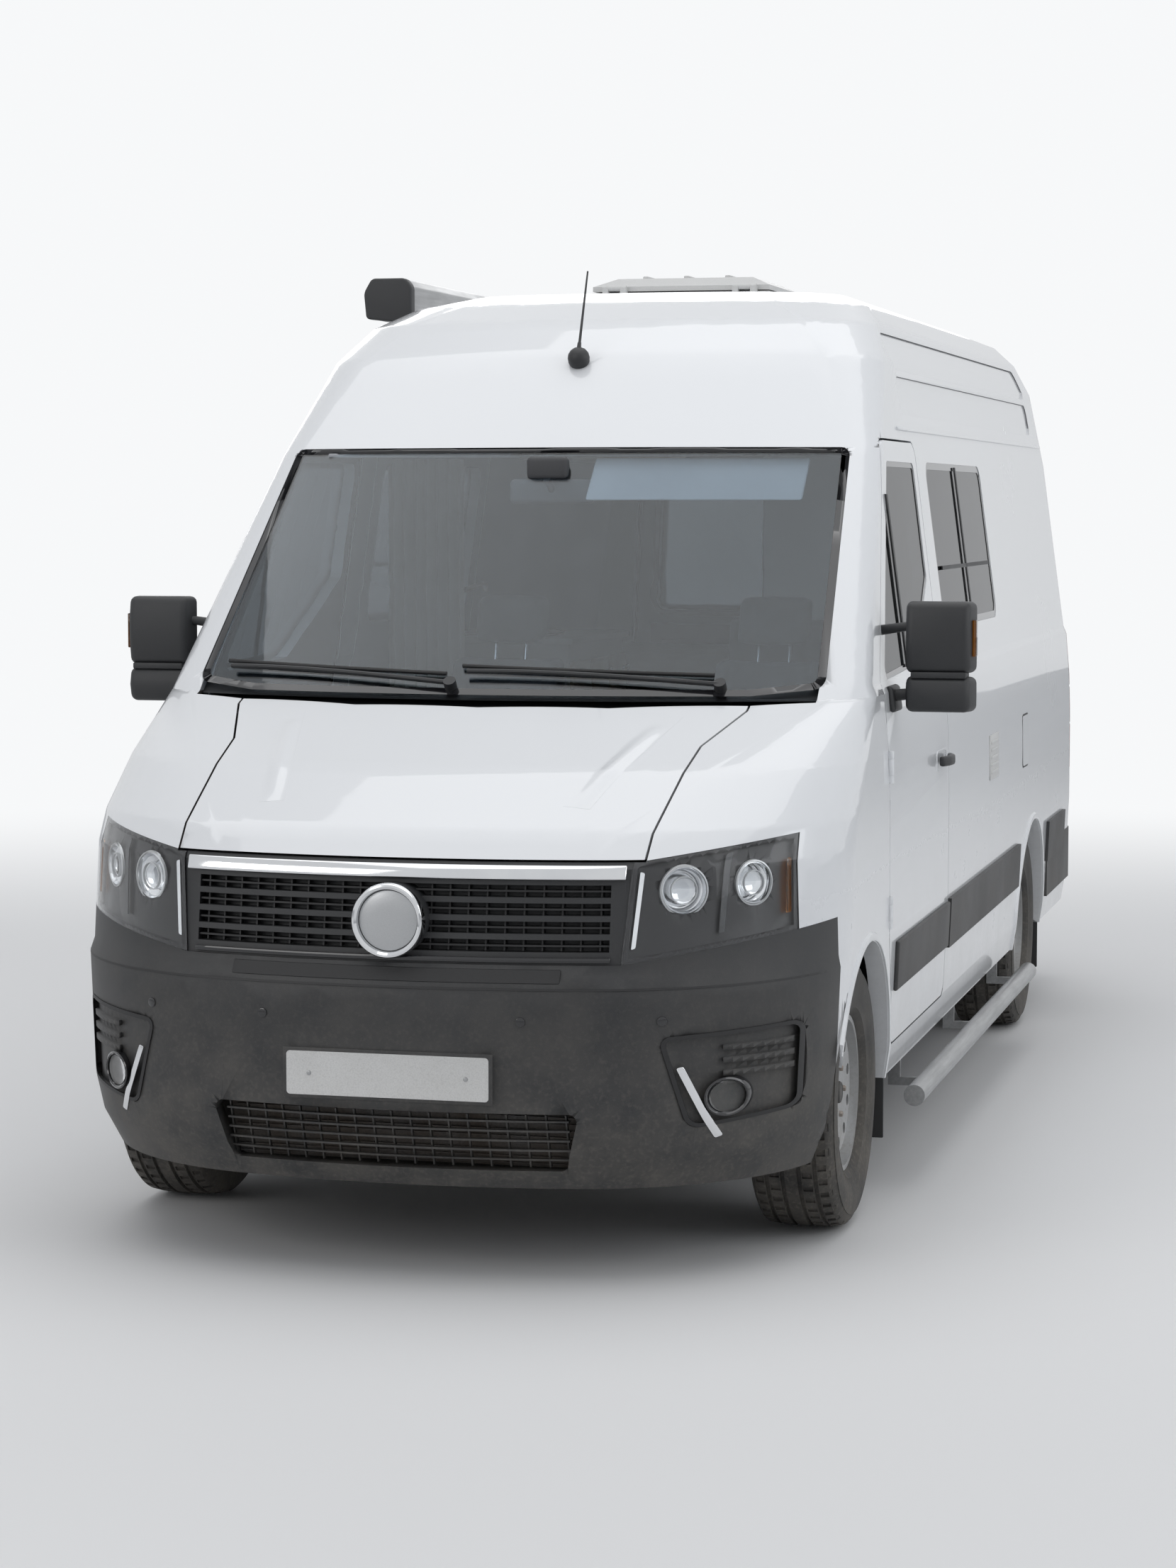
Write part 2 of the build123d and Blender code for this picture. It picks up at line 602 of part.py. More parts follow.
def make_floor():
    """Floor from the toe board to the rear sill, with the rear wheel boxes."""
    z0, z1 = FLOOR_TOP - FLOOR_THICKNESS, FLOOR_TOP
    floor = (CABIN & slab(z0, z1, 1455, 2480)) + (INNER & slab(z0, z1, 2480, LENGTH))
    for sign in (1, -1):
        x0, x1 = (690, 1100) if sign > 0 else (-1100, -690)
        room = drum(REAR_AXLE, ARCH_RADIUS + 20, x0, x1)
        cover = drum(REAR_AXLE, ARCH_RADIUS + 32, x0 - 12, x1 + 12) & INNER & slab(z0, 1000)
        floor = (floor + cover) - room
    return [floor]


def make_bulkhead():
    """Wall between engine and cab, the shelf under the cowl, the toe board and both front wheel houses."""
    wall = CABIN & block(-1500, 1500, BULKHEAD_FRONT, BULKHEAD_BACK, FLOOR_TOP - FLOOR_THICKNESS, SHELF_TOP)
    room = block(HOUSE_INNER - SEAT_GAP, 1200, HOUSE_FRONT, HOUSE_BACK, 0, HOUSE_TOP + SEAT_GAP)
    wall = carve(wall, both(room))
    shelf = CABIN & block(-840, 840, 815, BULKHEAD_FRONT - SEAT_GAP, SHELF_TOP - 20, SHELF_TOP)
    for post in bonnet_hinge_posts():
        shelf = shelf + post
    house = CABIN & block(HOUSE_INNER, 1200, HOUSE_FRONT, HOUSE_BACK, RAIL_BOTTOM, HOUSE_TOP)
    house = house - block(HOUSE_INNER + SHEET, 1200, HOUSE_FRONT + SHEET, HOUSE_BACK - SHEET, 0, HOUSE_TOP - SHEET)
    reach = HOUSE_INNER - SEAT_GAP
    low = FLOOR_TOP - FLOOR_THICKNESS
    toe = block(-reach, reach, BULKHEAD_BACK + SEAT_GAP, HOUSE_BACK, low, low + SHEET)
    return [wall, shelf, toe, house, other_side(house)]


def make_frame_rails():
    """Two long rails with cross members between them and the tow bar's blind holes in their undersides."""
    rail = block(RAIL_INNER, RAIL_OUTER, RAIL_FRONT, RAIL_BACK, RAIL_BOTTOM, FLOOR_TOP - FLOOR_THICKNESS)
    for s in TOW_HOLES:
        rail = rail - rod((TOW_HOLE_X, s, RAIL_BOTTOM - 10), (TOW_HOLE_X, s, RAIL_BOTTOM + TOW_HOLE_DEPTH),
                          TOW_HOLE_RADIUS)
    reach = RAIL_INNER - SEAT_GAP
    low = RAIL_BOTTOM + 10
    members = [block(-reach, reach, s, s + CROSS_MEMBER_WIDTH, low, low + CROSS_MEMBER_HEIGHT)
               for s in CROSS_MEMBERS]
    return [rail, other_side(rail)] + members


def make_front_subframe():
    """Cross members, lower arms and the upper halves of the struts."""
    frame = block(-520, 520, 790, 860, 250, 310) + block(-520, 520, 1150, 1220, 250, 310)
    for sign in (1, -1):
        x0, x1 = (400, 470) if sign > 0 else (-470, -400)
        frame = frame + block(x0, x1, 790, 1220, 250, 310)
        px0, px1 = (RAIL_INNER, RAIL_OUTER) if sign > 0 else (-RAIL_OUTER, -RAIL_INNER)
        for s in (790, 1150):
            frame = frame + block(px0, px1, s, s + 70, 250, RAIL_BOTTOM)
    arm = z_prism([(480, 840), (480, 1190), (KINGPIN_LOW[0], 1026), (KINGPIN_LOW[0], 974)], ARM_TOP - 20, ARM_TOP, 15)
    arm = arm + block(440, 510, 840, 1190, ARM_TOP - 20, 252)
    frame = frame + arm + other_side(arm)
    return [frame]


def kingpin_point(z):
    """Where the left steering axis passes at a height."""
    share = (z - KINGPIN_LOW[1]) / (KINGPIN_HIGH[1] - KINGPIN_LOW[1])
    return (KINGPIN_LOW[0] + share * (KINGPIN_HIGH[0] - KINGPIN_LOW[0]), FRONT_AXLE, z)


def make_struts():
    strut = rod(kingpin_point(KINGPIN_TOP + SEAT_GAP), kingpin_point(940), STRUT_RADIUS)
    strut = strut + rod(kingpin_point(745), kingpin_point(940), 58)
    strut = strut & slab(0, 930)
    return [strut, other_side(strut)]


def make_knuckle():
    """Left knuckle: upright on the steering axis and the spindle that carries the hub."""
    lean = atan2(KINGPIN_LOW[0] - KINGPIN_HIGH[0], KINGPIN_HIGH[1] - KINGPIN_LOW[1])
    foot = ARM_TOP + SEAT_GAP + KINGPIN_RADIUS * sin(lean)
    upright = rod(kingpin_point(foot), kingpin_point(KINGPIN_TOP), KINGPIN_RADIUS)
    inner_face = TRACK_HALF + HUB_OFFSET - DISC_DEPTH
    spindle = drum(FRONT_AXLE, HUB_BORE - SEAT_GAP, inner_face - 30, inner_face + 40)
    spindle = spindle + drum(FRONT_AXLE, 40, 735, inner_face - 30)
    caliper = drum(FRONT_AXLE, 180, 772, 788) & block(700, 900, 1060, 1180, 290, 430)
    carrier = block(748, 785, 1000, 1110, 326, 386)
    return [upright + spindle + caliper + carrier]


def make_rear_axle():
    """Dead beam with stub axles and a leaf spring on each side."""
    inner_face = TRACK_HALF + HUB_OFFSET - DRUM_DEPTH
    beam = drum(REAR_AXLE, 30, -inner_face, inner_face)
    hub = drum(REAR_AXLE, HUB_BORE - SEAT_GAP, inner_face - 30, inner_face + 40)
    beam = beam + hub + other_side(hub)
    spring = x_prism([(3990, 428), (4560, 394), (4720, 394), (5290, 428), (5290, 444), (4720, 410),
                      (4560, 410), (3990, 444)], 548, 612)
    shackles = block(520, 612, 3990, 4050, 428, 500) + block(520, 612, 5230, 5290, 428, 500)
    seat = block(540, 620, 4590, 4690, 350, 396)
    beam = beam + seat + spring + shackles
    return [beam + other_side(seat + spring + shackles)]


def make_wheel(rear=False):
    """Steel wheel with hand holes and bolt circle, turned about the X axis at the origin."""
    half = RIM_WIDTH / 2
    inner = RIM_RADIUS - RIM_WALL
    face = HUB_OFFSET
    drum_depth = DRUM_DEPTH if rear else DISC_DEPTH
    points = [(-half, inner), (-half, RIM_RADIUS + 5), (-half + 5, RIM_RADIUS + 5), (-half + 5, RIM_RADIUS),
              (half - 5, RIM_RADIUS), (half - 5, RIM_RADIUS + 5), (half, RIM_RADIUS + 5), (half, inner),
              (face - 2, inner), (face + 12, 160), (face + 10, 100), (face + 10, 30), (face - 12, 30),
              (face - 12, HUB_BORE), (face - drum_depth, HUB_BORE), (face - drum_depth, DISC_RADIUS),
              (face - drum_depth + DISC_THICKNESS, DISC_RADIUS), (face - drum_depth + DISC_THICKNESS, 84),
              (face, 84), (face, 100), (face + 2, 158), (face - 14, inner)]
    if rear:
        points = points[:15] + [(face - drum_depth, DISC_RADIUS), (face - 24, DISC_RADIUS), (face - 24, 84)] + points[18:]
    outline = Wire.make_polygon([Vector(a, r, 0) for a, r in points], close=True)
    wheel = Solid.revolve(Face(outline), 360, Axis.X)
    for i in range(BOLT_COUNT):
        turn = radians(360 / BOLT_COUNT * i)
        centre = Vector(face - 20, BOLT_CIRCLE / 2 * cos(turn), BOLT_CIRCLE / 2 * sin(turn))
        wheel = wheel - Solid.make_cylinder(BOLT_HOLE_RADIUS, 40, Plane(origin=centre, z_dir=(1, 0, 0)))
    for i in range(10):
        turn = radians(36 * i + 18)
        centre = Vector(face - 30, 136 * cos(turn), 136 * sin(turn))
        wheel = wheel - Solid.make_cylinder(15, 60, Plane(origin=centre, z_dir=(1, 0, 0)))
    return wheel


def make_tyre():
    """Tyre about the X axis at the origin, with bead, sidewalls and a flat tread."""
    bead = RIM_RADIUS + SEAT_GAP
    half = TYRE_WIDTH / 2
    profile = [(80, bead), (half - 5, bead + 44), (half, bead + 90), (half - 24, TYRE_RADIUS)]
    outline = profile + [(-a, r) for a, r in reversed(profile)]
    face = Face(Wire.make_polygon([Vector(a, r, 0) for a, r in outline], close=True))
    return Solid.revolve(face, 360, Axis.X)


def on_axle(shape, axle, side):
    """A wheel or tyre moved to its axle, outer face outwards."""
    placed = shape if side > 0 else shape.mirror(Plane.YZ)
    return placed.moved(Location(Vector(side * TRACK_HALF, place(axle), TYRE_RADIUS)))


def make_dashboard():
    """Dashboard from the windscreen to the knees, with the steering column."""
    outline = [(980, SHELF_TOP), (1200, SHELF_TOP), (1200, 950), (1420, 950), (1560, 990), (1612, 1120),
               (1600, 1240), (1470, 1352), (1080, 1376), (980, 1350)]
    pad = body_core(126) & x_prism(outline, -940, 940)
    column = rod((400, 1707, 1176), (400, 1560, 980), 34)
    return [pad + column]


def make_steering_wheel():
    centre = Vector(400, place(1740), 1220)
    axis = Vector(0, 0.6, 0.8)
    ring = Solid.make_torus(190, 15, Plane(origin=centre, z_dir=axis))
    hub = Solid.make_cylinder(48, 54.4, Plane(origin=centre - axis * 54.4, z_dir=axis))
    wheel = ring + hub
    flat = Plane(origin=centre - axis * 12, z_dir=axis, x_dir=(1, 0, 0))
    for turn in (0, 180, 270):
        spoke = Solid.make_box(180, 34, 16, Plane(origin=(0, -17, 0))).rotate(Axis.Z, turn)
        wheel = wheel + flat.location * spoke
    return [wheel]


def make_seats():
    """Two cab seats on pedestals and the bench behind the driver."""
    seats = []
    for x in (430, -430):
        side = [(2000, 740), (2520, 720), (2560, 800), (2760, 1420), (2700, 1640), (2640, 1650), (2620, 1440),
                (2430, 880), (2010, 900)]
        body = x_prism(side, x - 250, x + 250, 30)
        seats.append(body + block(x - 200, x + 200, 2080, 2480, FLOOR_TOP, 760))
    bench = block(120, 1100, 2960, 3420, FLOOR_TOP, 1000) + block(120, 1100, 3330, 3420, 1000, 1560)
    seats.append(bench & CABIN)
    return seats


def make_furniture():
    """Kitchen at the sliding door, washroom, bed base and overhead lockers."""
    kitchen = INNER & block(-1100, -400, 3300, 4080, FLOOR_TOP, 1440)
    washroom = INNER & block(250, 1100, 3420 + 2, 4180, FLOOR_TOP, 2300)
    bed = INNER & block(-1100, 1100, BED_FRONT, BED_BACK, BED_TOP - BED_THICKNESS, BED_TOP)
    leg = block(420, 420 + BED_LEG_WIDTH, BED_FRONT, BED_FRONT + 40, FLOOR_TOP, BED_TOP - BED_THICKNESS - SEAT_GAP)
    locker = INNER & block(LOCKER_INNER, 1100, BED_FRONT, BED_BACK, LOCKER_BOTTOM, LOCKER_TOP)
    top = block(240, 900, 2775, 2950, TABLE_TOP - TABLE_THICKNESS, TABLE_TOP)
    post = block(440, 500, 2820, 2880, FLOOR_TOP, TABLE_TOP - TABLE_THICKNESS - SEAT_GAP)
    return [kitchen, washroom, bed, leg, other_side(leg), locker, other_side(locker), top, post]


def make_mattress():
    pad = CABIN & block(-1100, 1100, BED_FRONT + 20, BED_BACK - 20, BED_TOP + SEAT_GAP, BED_TOP + MATTRESS_THICKNESS)
    return [pad]


def make_hatch_frame():
    ring = block(-HATCH_HALF_WIDTH, HATCH_HALF_WIDTH, HATCH_CENTRE - HATCH_HALF_LENGTH,
                 HATCH_CENTRE + HATCH_HALF_LENGTH, ROOF_TOP, ROOF_TOP + HATCH_FRAME_HEIGHT)
    ring = ring - HATCH_HOLE
    front = HATCH_CENTRE - HATCH_HALF_LENGTH
    for x in (-220, 220):
        for a, b in ((x - 40, x - 20 - SEAT_GAP), (x + 20 + SEAT_GAP, x + 40)):
            ring = ring + block(a, b, front - 18, front + 10, ROOF_TOP, ROOF_TOP + 40)
            ring = ring + rod((a, front - 8, ROOF_TOP + 40), (b, front - 8, ROOF_TOP + 40), 9)
    return [ring]


def make_hatch_lid():
    front = HATCH_CENTRE - HATCH_HALF_LENGTH
    low = ROOF_TOP + HATCH_FRAME_HEIGHT + 5
    back = front + 2 * HATCH_HALF_LENGTH
    lid = block(-HATCH_HALF_WIDTH, HATCH_HALF_WIDTH, front + 14, back, low, low + 16)
    lid = lid + rising(HATCH_HALF_WIDTH, front + 14, back, low + 16, HATCH_LID_HEIGHT - 16, 70)
    for x in (-220, 220):
        lid = lid + block(x - 20, x + 20, front - 8, front + 30, ROOF_TOP + 34, ROOF_TOP + 46)
        lid = lid + rod((x - 20, front - 8, ROOF_TOP + 40), (x + 20, front - 8, ROOF_TOP + 40), 9)
    return [lid]


def make_awning():
    """Wound-in awning case on the right roof edge, on three brackets."""
    case = y_prism([(-800, 2505), (-948, 2520), (-956, 2600), (-930, 2645), (-820, 2645), (-800, 2620)],
                   2820, 5560, 12)
    for s in (2980, 4150, 5320):
        bracket = block(-880, -740, s, s + 70, 2400, 2510) - OUTER
        bracket = bracket & block(-880, -700, s, s + 70, 2440, 2510)
        case = case + bracket
    return [case]


def make_aerial():
    foot = rod((0, 1890, 2300), (0, 1880, 2372), 20) - OUTER
    mast = rod((0, 1880, 2360), (0, 1990, 2560), 4)
    return [foot + (mast - OUTER)]


def make_side_strips():
    """Rub strips along the sides behind the cab doors and round to the rear bumper."""
    wide = [section._replace(half=section.half + 12, tail=section.tail + 2) for section in SECTIONS]
    form = Solid.make_loft([plan_wire(section, 0.0) for section in wide], ruled=True) - OUTER
    strips = []
    for s0, s1 in ((2466, 4200), (5082, 5630)):
        strips.append(form & block(700, 1200, s0, s1, 560, 712))
    for s0, s1 in ((2466, 2612), (3940, 4200), (5082, 5630)):
        strips.append(form & block(-1200, -700, s0, s1, 560, 712))
    return strips


def make_side_bars():
    """Tube beside each sill between the wheels, on brackets under the sill."""
    bar = rod((SIDE_BAR_X, SIDE_BAR_ENDS[0], SIDE_BAR_Z), (SIDE_BAR_X, SIDE_BAR_ENDS[1], SIDE_BAR_Z), SIDE_BAR_RADIUS)
    for s in SIDE_BAR_BRACKETS:
        bar = bar + block(950, SIDE_BAR_X, s, s + 16, SIDE_BAR_Z - 12, SIDE_BAR_Z + 12)
        bar = bar + block(950, 985, s, s + 16, SIDE_BAR_Z - 12, SILL_BOTTOM)
    return [bar, other_side(bar)]


def make_fuel_tank():
    tank = block(-120, 430, 2440, 3300, 300, FLOOR_TOP - FLOOR_THICKNESS)
    return [tank.fillet(30, tank.edges().filter_by(Axis.Y))]


def make_exhaust():
    pipe = rod((-330, 1060, 412), (-330, 5700, 412), 22) + rod((-330, 3540, 400), (-330, 4030, 400), 75)
    for s in (1900, 3000, 4500, 5600):
        pipe = pipe + rod((-330, s, 412), (-330, s, FLOOR_TOP - FLOOR_THICKNESS), 8)
    return [pipe]


def make_engine():
    return [block(-360, 360, 570, 1060, 310, 1010)]


def pair(name, left):
    """A left node and its mirror image on the right."""
    return {name + "_left": left, name + "_right": [other_side(shape) for shape in left]}


NODES = {
    "floor_pan": make_floor(),
    "frame_rails": make_frame_rails(),
    "bulkhead": make_bulkhead(),
    "engine_block": make_engine(),
    "front_subframe": make_front_subframe(),
    "front_struts": make_struts(),
    "rear_axle": make_rear_axle(),
    "exhaust": make_exhaust(),
    "fuel_tank": make_fuel_tank(),
    "bodyside_left": make_bodyside(1),
    "bodyside_right": make_bodyside(-1),
    "roof_panel": make_roof(),
    "front_wings": make_front_wings(),
    "cowl": make_cowl(),
    "windscreen": make_windscreen(),
    "grille": make_grille(),
    "headlamps": make_headlamps(),
    "headlamp_units": make_headlamp_units(),
    "front_bumper": make_front_bumper(),
    "rear_bumper": make_rear_bumper(),
    "tail_lamps": make_tail_lamps(),
    "sliding_door": make_sliding_door(),
    "side_windows": make_side_windows(),
    "side_strips": make_side_strips(),
    "side_bars": make_side_bars(),
    "dashboard": make_dashboard(),
    "seats": make_seats(),
    "living_furniture": make_furniture(),
    "mattress": make_mattress(),
    "hatch_frame": make_hatch_frame(),
    "hatch_lid": make_hatch_lid(),
    "awning": make_awning(),
    "aerial": make_aerial(),
    "bonnet": make_bonnet(),
    "steering_wheel": make_steering_wheel(),
}
NODES.update(pair("cab_door", make_cab_door()))
NODES.update(pair("cab_door_glass", make_cab_door_glass()))
NODES.update(pair("mirror", make_mirror()))
NODES.update(pair("rear_door", make_rear_door()))
NODES.update(pair("rear_door_glass", make_rear_door_glass()))
NODES.update(pair("knuckle", make_knuckle()))
POSTS = rear_hinge_posts()
NODES["bodyside_left"] += POSTS
NODES["bodyside_right"] += [other_side(post) for post in POSTS]
for end, axle, is_rear in (("front", FRONT_AXLE, False), ("rear", REAR_AXLE, True)):
    for side_name, side in (("left", 1), ("right", -1)):
        NODES["wheel_" + end + "_" + side_name] = [on_axle(make_wheel(is_rear), axle, side)]
        NODES["tyre_" + end + "_" + side_name] = [on_axle(make_tyre(), axle, side)]

os.makedirs("parts", exist_ok=True)
for name, shapes in NODES.items():
    solids = [solid for shape in shapes for solid in shape.solids()]
    fused = solids[0].fuse(*solids[1:]).solids() if name.startswith("bodyside") else solids
    export_step(Compound(fused), "parts/" + name + ".step")
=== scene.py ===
import bpy
import math
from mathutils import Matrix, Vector


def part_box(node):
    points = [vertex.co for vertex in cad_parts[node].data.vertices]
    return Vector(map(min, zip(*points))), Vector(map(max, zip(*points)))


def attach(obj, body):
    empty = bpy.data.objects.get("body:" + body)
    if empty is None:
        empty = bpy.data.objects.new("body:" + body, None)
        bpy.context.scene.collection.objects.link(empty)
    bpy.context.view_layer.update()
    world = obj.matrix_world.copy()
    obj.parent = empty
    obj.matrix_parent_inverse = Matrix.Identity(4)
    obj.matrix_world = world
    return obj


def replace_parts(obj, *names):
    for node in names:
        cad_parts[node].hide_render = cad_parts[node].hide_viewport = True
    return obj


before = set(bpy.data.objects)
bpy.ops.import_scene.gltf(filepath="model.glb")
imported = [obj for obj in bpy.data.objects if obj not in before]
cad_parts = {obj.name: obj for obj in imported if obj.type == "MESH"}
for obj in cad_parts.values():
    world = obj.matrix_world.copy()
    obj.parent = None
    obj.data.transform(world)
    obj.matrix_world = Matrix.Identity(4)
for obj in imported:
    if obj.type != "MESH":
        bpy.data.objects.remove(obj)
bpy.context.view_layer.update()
bpy.ops.object.select_all(action="DESELECT")

# Camper van, in metres: +X is its left side, the nose points to -Y and the ground is z = 0
HALF_LENGTH = 2.993
ROOF_Z = 2.590
FRONT_AXLE = 1.000
REAR_AXLE = 4.640
WHEEL_X = 0.870
WHEEL_RADIUS = 0.356
SEAT_X = 0.43
X, Y, Z = 0, 1, 2
ALONG_X, ALONG_Y, ALONG_Z = (1, 0, 0), (0, 1, 0), (0, 0, 1)
SIDES = ((1, "left"), (-1, "right"))
CAB_DOOR = "cab_door_left"
REAR_DOOR = "rear_door_left"


def behind(distance):
    """Y of a place at this distance behind the nose."""
    return distance - HALF_LENGTH


def spot(x, distance, z):
    """Place given by x, distance behind the nose and height."""
    return x, behind(distance), z


def clamp(value, low, high):
    return min(max(value, low), high)


# Node trees

def feed(tree, node, inputs):
    """Gives inputs of a node another node's output each, or a value."""
    for label, value in inputs.items():
        socket = node.inputs[label]
        if isinstance(value, bpy.types.NodeSocket):
            tree.links.new(value, socket)
        elif socket.type == "RGBA":
            socket.default_value = (*value, 1.0)
        else:
            socket.default_value = value


def add_node(tree, kind, inputs, **settings):
    node = tree.nodes.new("ShaderNode" + kind)
    for label, value in settings.items():
        setattr(node, label, value)
    feed(tree, node, inputs)
    return node


def maths(tree, operation, first, second, held=False):
    """Result of two numbers or sockets, held between 0 and 1 if wanted."""
    return add_node(tree, "Math", {0: first, 1: second}, operation=operation, use_clamp=held).outputs[0]


def noise(tree, vector, scale, detail=3.0, rough=0.55):
    inputs = {"Vector": vector, "Scale": scale, "Detail": detail, "Roughness": rough}
    return add_node(tree, "TexNoise", inputs).outputs["Fac"]


def span(tree, value, low, high, out_low=0.0, out_high=1.0):
    """Spreads one range over another."""
    inputs = {"Value": value, "From Min": low, "From Max": high, "To Min": out_low, "To Max": out_high}
    return add_node(tree, "MapRange", inputs).outputs["Result"]


def blend(tree, share, first, second):
    return add_node(tree, "MixShader", {0: share, 1: first.outputs[0], 2: second.outputs[0]})


def mix_colour(tree, mask, first, second):
    """Colour between two, each a socket or an RGB triple."""
    return add_node(tree, "Mix", {"Factor": mask, 6: first, 7: second}, data_type="RGBA").outputs[2]


def seen_rays(tree):
    """1 for rays that reach the camera straight or through glass."""
    rays = add_node(tree, "LightPath", {}).outputs
    return maths(tree, "MAXIMUM", rays["Is Camera Ray"], rays["Is Transmission Ray"])


def new_material(name):
    """Material, its node tree and shader, and the place on the object that its textures follow."""
    material = bpy.data.materials.new(name)
    material.use_nodes = True
    tree = material.node_tree
    return material, tree, tree.nodes["Principled BSDF"], add_node(tree, "TexCoord", {}).outputs["Object"]


# Camera, floor and soft studio light

BACKDROP = (0.93, 0.94, 0.95)
LAMPS = (  # name, place, target, size, power, tint
    ("overhead_panel", (0.5, -1.0, 9.0), (0, 0, 1), (12, 12), 430, (1.0, 1.0, 1.0)),
    ("front_panel", (-6.0, -10.0, 5.0), (0, -1, 1), (6, 4), 150, (1.0, 0.985, 0.97)),
    ("left_panel", (9.0, -2.0, 4.0), (0, 0, 1), (8, 4), 150, (0.96, 0.98, 1.0)),
    ("rear_panel", (-4.0, 10.0, 5.0), (0, 1, 1), (8, 4), 150, (1.0, 1.0, 1.0)))


def aim(thing, target):
    thing.rotation_euler = (Vector(target) - thing.location).to_track_quat("-Z", "Y").to_euler()


def add_camera():
    bpy.ops.object.camera_add(location=(2.493, -10.829, 1.915))
    camera = bpy.context.object
    aim(camera, (0.464, -2.829, 1.236))
    camera.data.sensor_fit = "HORIZONTAL"
    camera.data.sensor_width = 36.0
    camera.data.lens = 104.0
    camera.data.clip_end = 200.0
    bpy.context.scene.camera = camera


def add_studio():
    for name, place, target, size, power, tint in LAMPS:
        bpy.ops.object.light_add(type="AREA", location=place)
        lamp = bpy.context.object
        lamp.name = name
        aim(lamp, target)
        lamp.data.shape = "RECTANGLE"
        lamp.data.size, lamp.data.size_y = size
        lamp.data.energy = power
        lamp.data.color = tint
    world = bpy.data.worlds.new("studio_air")
    bpy.context.scene.world = world
    world.use_nodes = True
    air = world.node_tree
    air.nodes.clear()
    mirrored = maths(air, "MULTIPLY", add_node(air, "LightPath", {}).outputs["Is Glossy Ray"], 0.6)
    light = add_node(air, "Background", {"Color": (0.92, 0.95, 1.0), "Strength": 0.42})
    seen = add_node(air, "Background", {"Color": BACKDROP, "Strength": 1.0})
    both = blend(air, maths(air, "MAXIMUM", seen_rays(air), mirrored), light, seen)
    add_node(air, "OutputWorld", {"Surface": both.outputs[0]})
    bpy.ops.mesh.primitive_plane_add(size=80, location=(0, 0, -0.002))
    floor = bpy.context.object
    floor.name = "studio_floor"
    material, tree, shader, place = new_material("floor_finish")
    feed(tree, shader, {"Base Color": (0.80, 0.80, 0.80), "Roughness": 0.9})
    reach = add_node(tree, "VectorMath", {0: place}, operation="LENGTH").outputs["Value"]
    away = add_node(tree, "MapRange", {"Value": reach, "From Min": 4.2, "From Max": 11.0},
                    interpolation_type="SMOOTHSTEP").outputs["Result"]
    far = add_node(tree, "Emission", {"Color": BACKDROP})
    above = blend(tree, maths(tree, "MULTIPLY", away, seen_rays(tree)), shader, far)
    back = add_node(tree, "NewGeometry", {}).outputs["Backfacing"]
    surface = blend(tree, back, above, add_node(tree, "BsdfTransparent", {}))
    feed(tree, tree.nodes["Material Output"], {"Surface": surface.outputs[0]})
    floor.data.materials.append(material)
    bpy.ops.object.select_all(action="DESELECT")
    bpy.context.scene.view_settings.view_transform = "Standard"


# Effects that several materials share: each gives masks and heights, no shaders

def new_group(name, gives, **takes):
    """Node group that takes a Vector and some numbers: the group, what it takes, and its end."""
    group = bpy.data.node_groups.new(name, "ShaderNodeTree")
    add_socket = group.interface.new_socket
    add_socket(name="Vector", in_out="INPUT", socket_type="NodeSocketVector")
    for label, value in takes.items():
        add_socket(name=label, in_out="INPUT", socket_type="NodeSocketFloat").default_value = value
    for label in gives:
        add_socket(name=label, in_out="OUTPUT", socket_type="NodeSocketFloat")
    return group, group.nodes.new("NodeGroupInput").outputs, group.nodes.new("NodeGroupOutput")


def use_group(tree, group, vector, **values):
    node = add_node(tree, "Group", {}, node_tree=group)
    feed(tree, node, {"Vector": vector, **values})
    return node.outputs


def patches_group():
    """Soft uneven patches, as of polish, sun and handling."""
    group, takes, end = new_group("soft patches", ["Mask"], Scale=2.0)
    broad = noise(group, takes["Vector"], takes["Scale"], 4.0)
    feed(group, end, {"Mask": span(group, broad, 0.35, 0.68)})
    return group


def film_group():
    """Road dirt: thick near the ground, gone above Top, broken up by splashes."""
    group, takes, end = new_group("road film", ["Mask"], Top=1.0, Amount=0.4)
    vector = takes["Vector"]
    level = span(group, add_node(group, "SeparateXYZ", {0: vector}).outputs["Z"], 0.15, takes["Top"], 1.0, 0.0)
    splash = span(group, noise(group, vector, 7.0, 6.0, 0.65), 0.3, 0.75)
    specks = span(group, noise(group, vector, 90.0, 2.0), 0.5, 0.75)
    broken = maths(group, "ADD", splash, maths(group, "MULTIPLY", specks, 0.5), True)
    mask = maths(group, "MULTIPLY", level, broken)
    feed(group, end, {"Mask": maths(group, "MULTIPLY", mask, takes["Amount"], True)})
    return group


def grain_group():
    """Moulded or cast grain: small rounded bumps with shallow valleys, painted darker in the valleys as painted
    shade.
    """
    group, takes, end = new_group("moulded grain", ["Height", "Painted_light_and_tone"], Scale=400.0)
    vector, scale = takes["Vector"], takes["Scale"]
    cells = add_node(group, "TexVoronoi", {"Vector": vector, "Scale": scale}, feature="SMOOTH_F1").outputs["Distance"]
    uneven = noise(group, vector, scale, 2.0)
    height = maths(group, "SUBTRACT", uneven, maths(group, "MULTIPLY", cells, 0.7))
    # Painted shade: the colour darkens towards the valleys between the bumps.
    shade = maths(group, "MULTIPLY", span(group, cells, 0.25, 0.8), 0.3)
    feed(group, end, {"Height": height, "Painted_light_and_tone": shade})
    return group


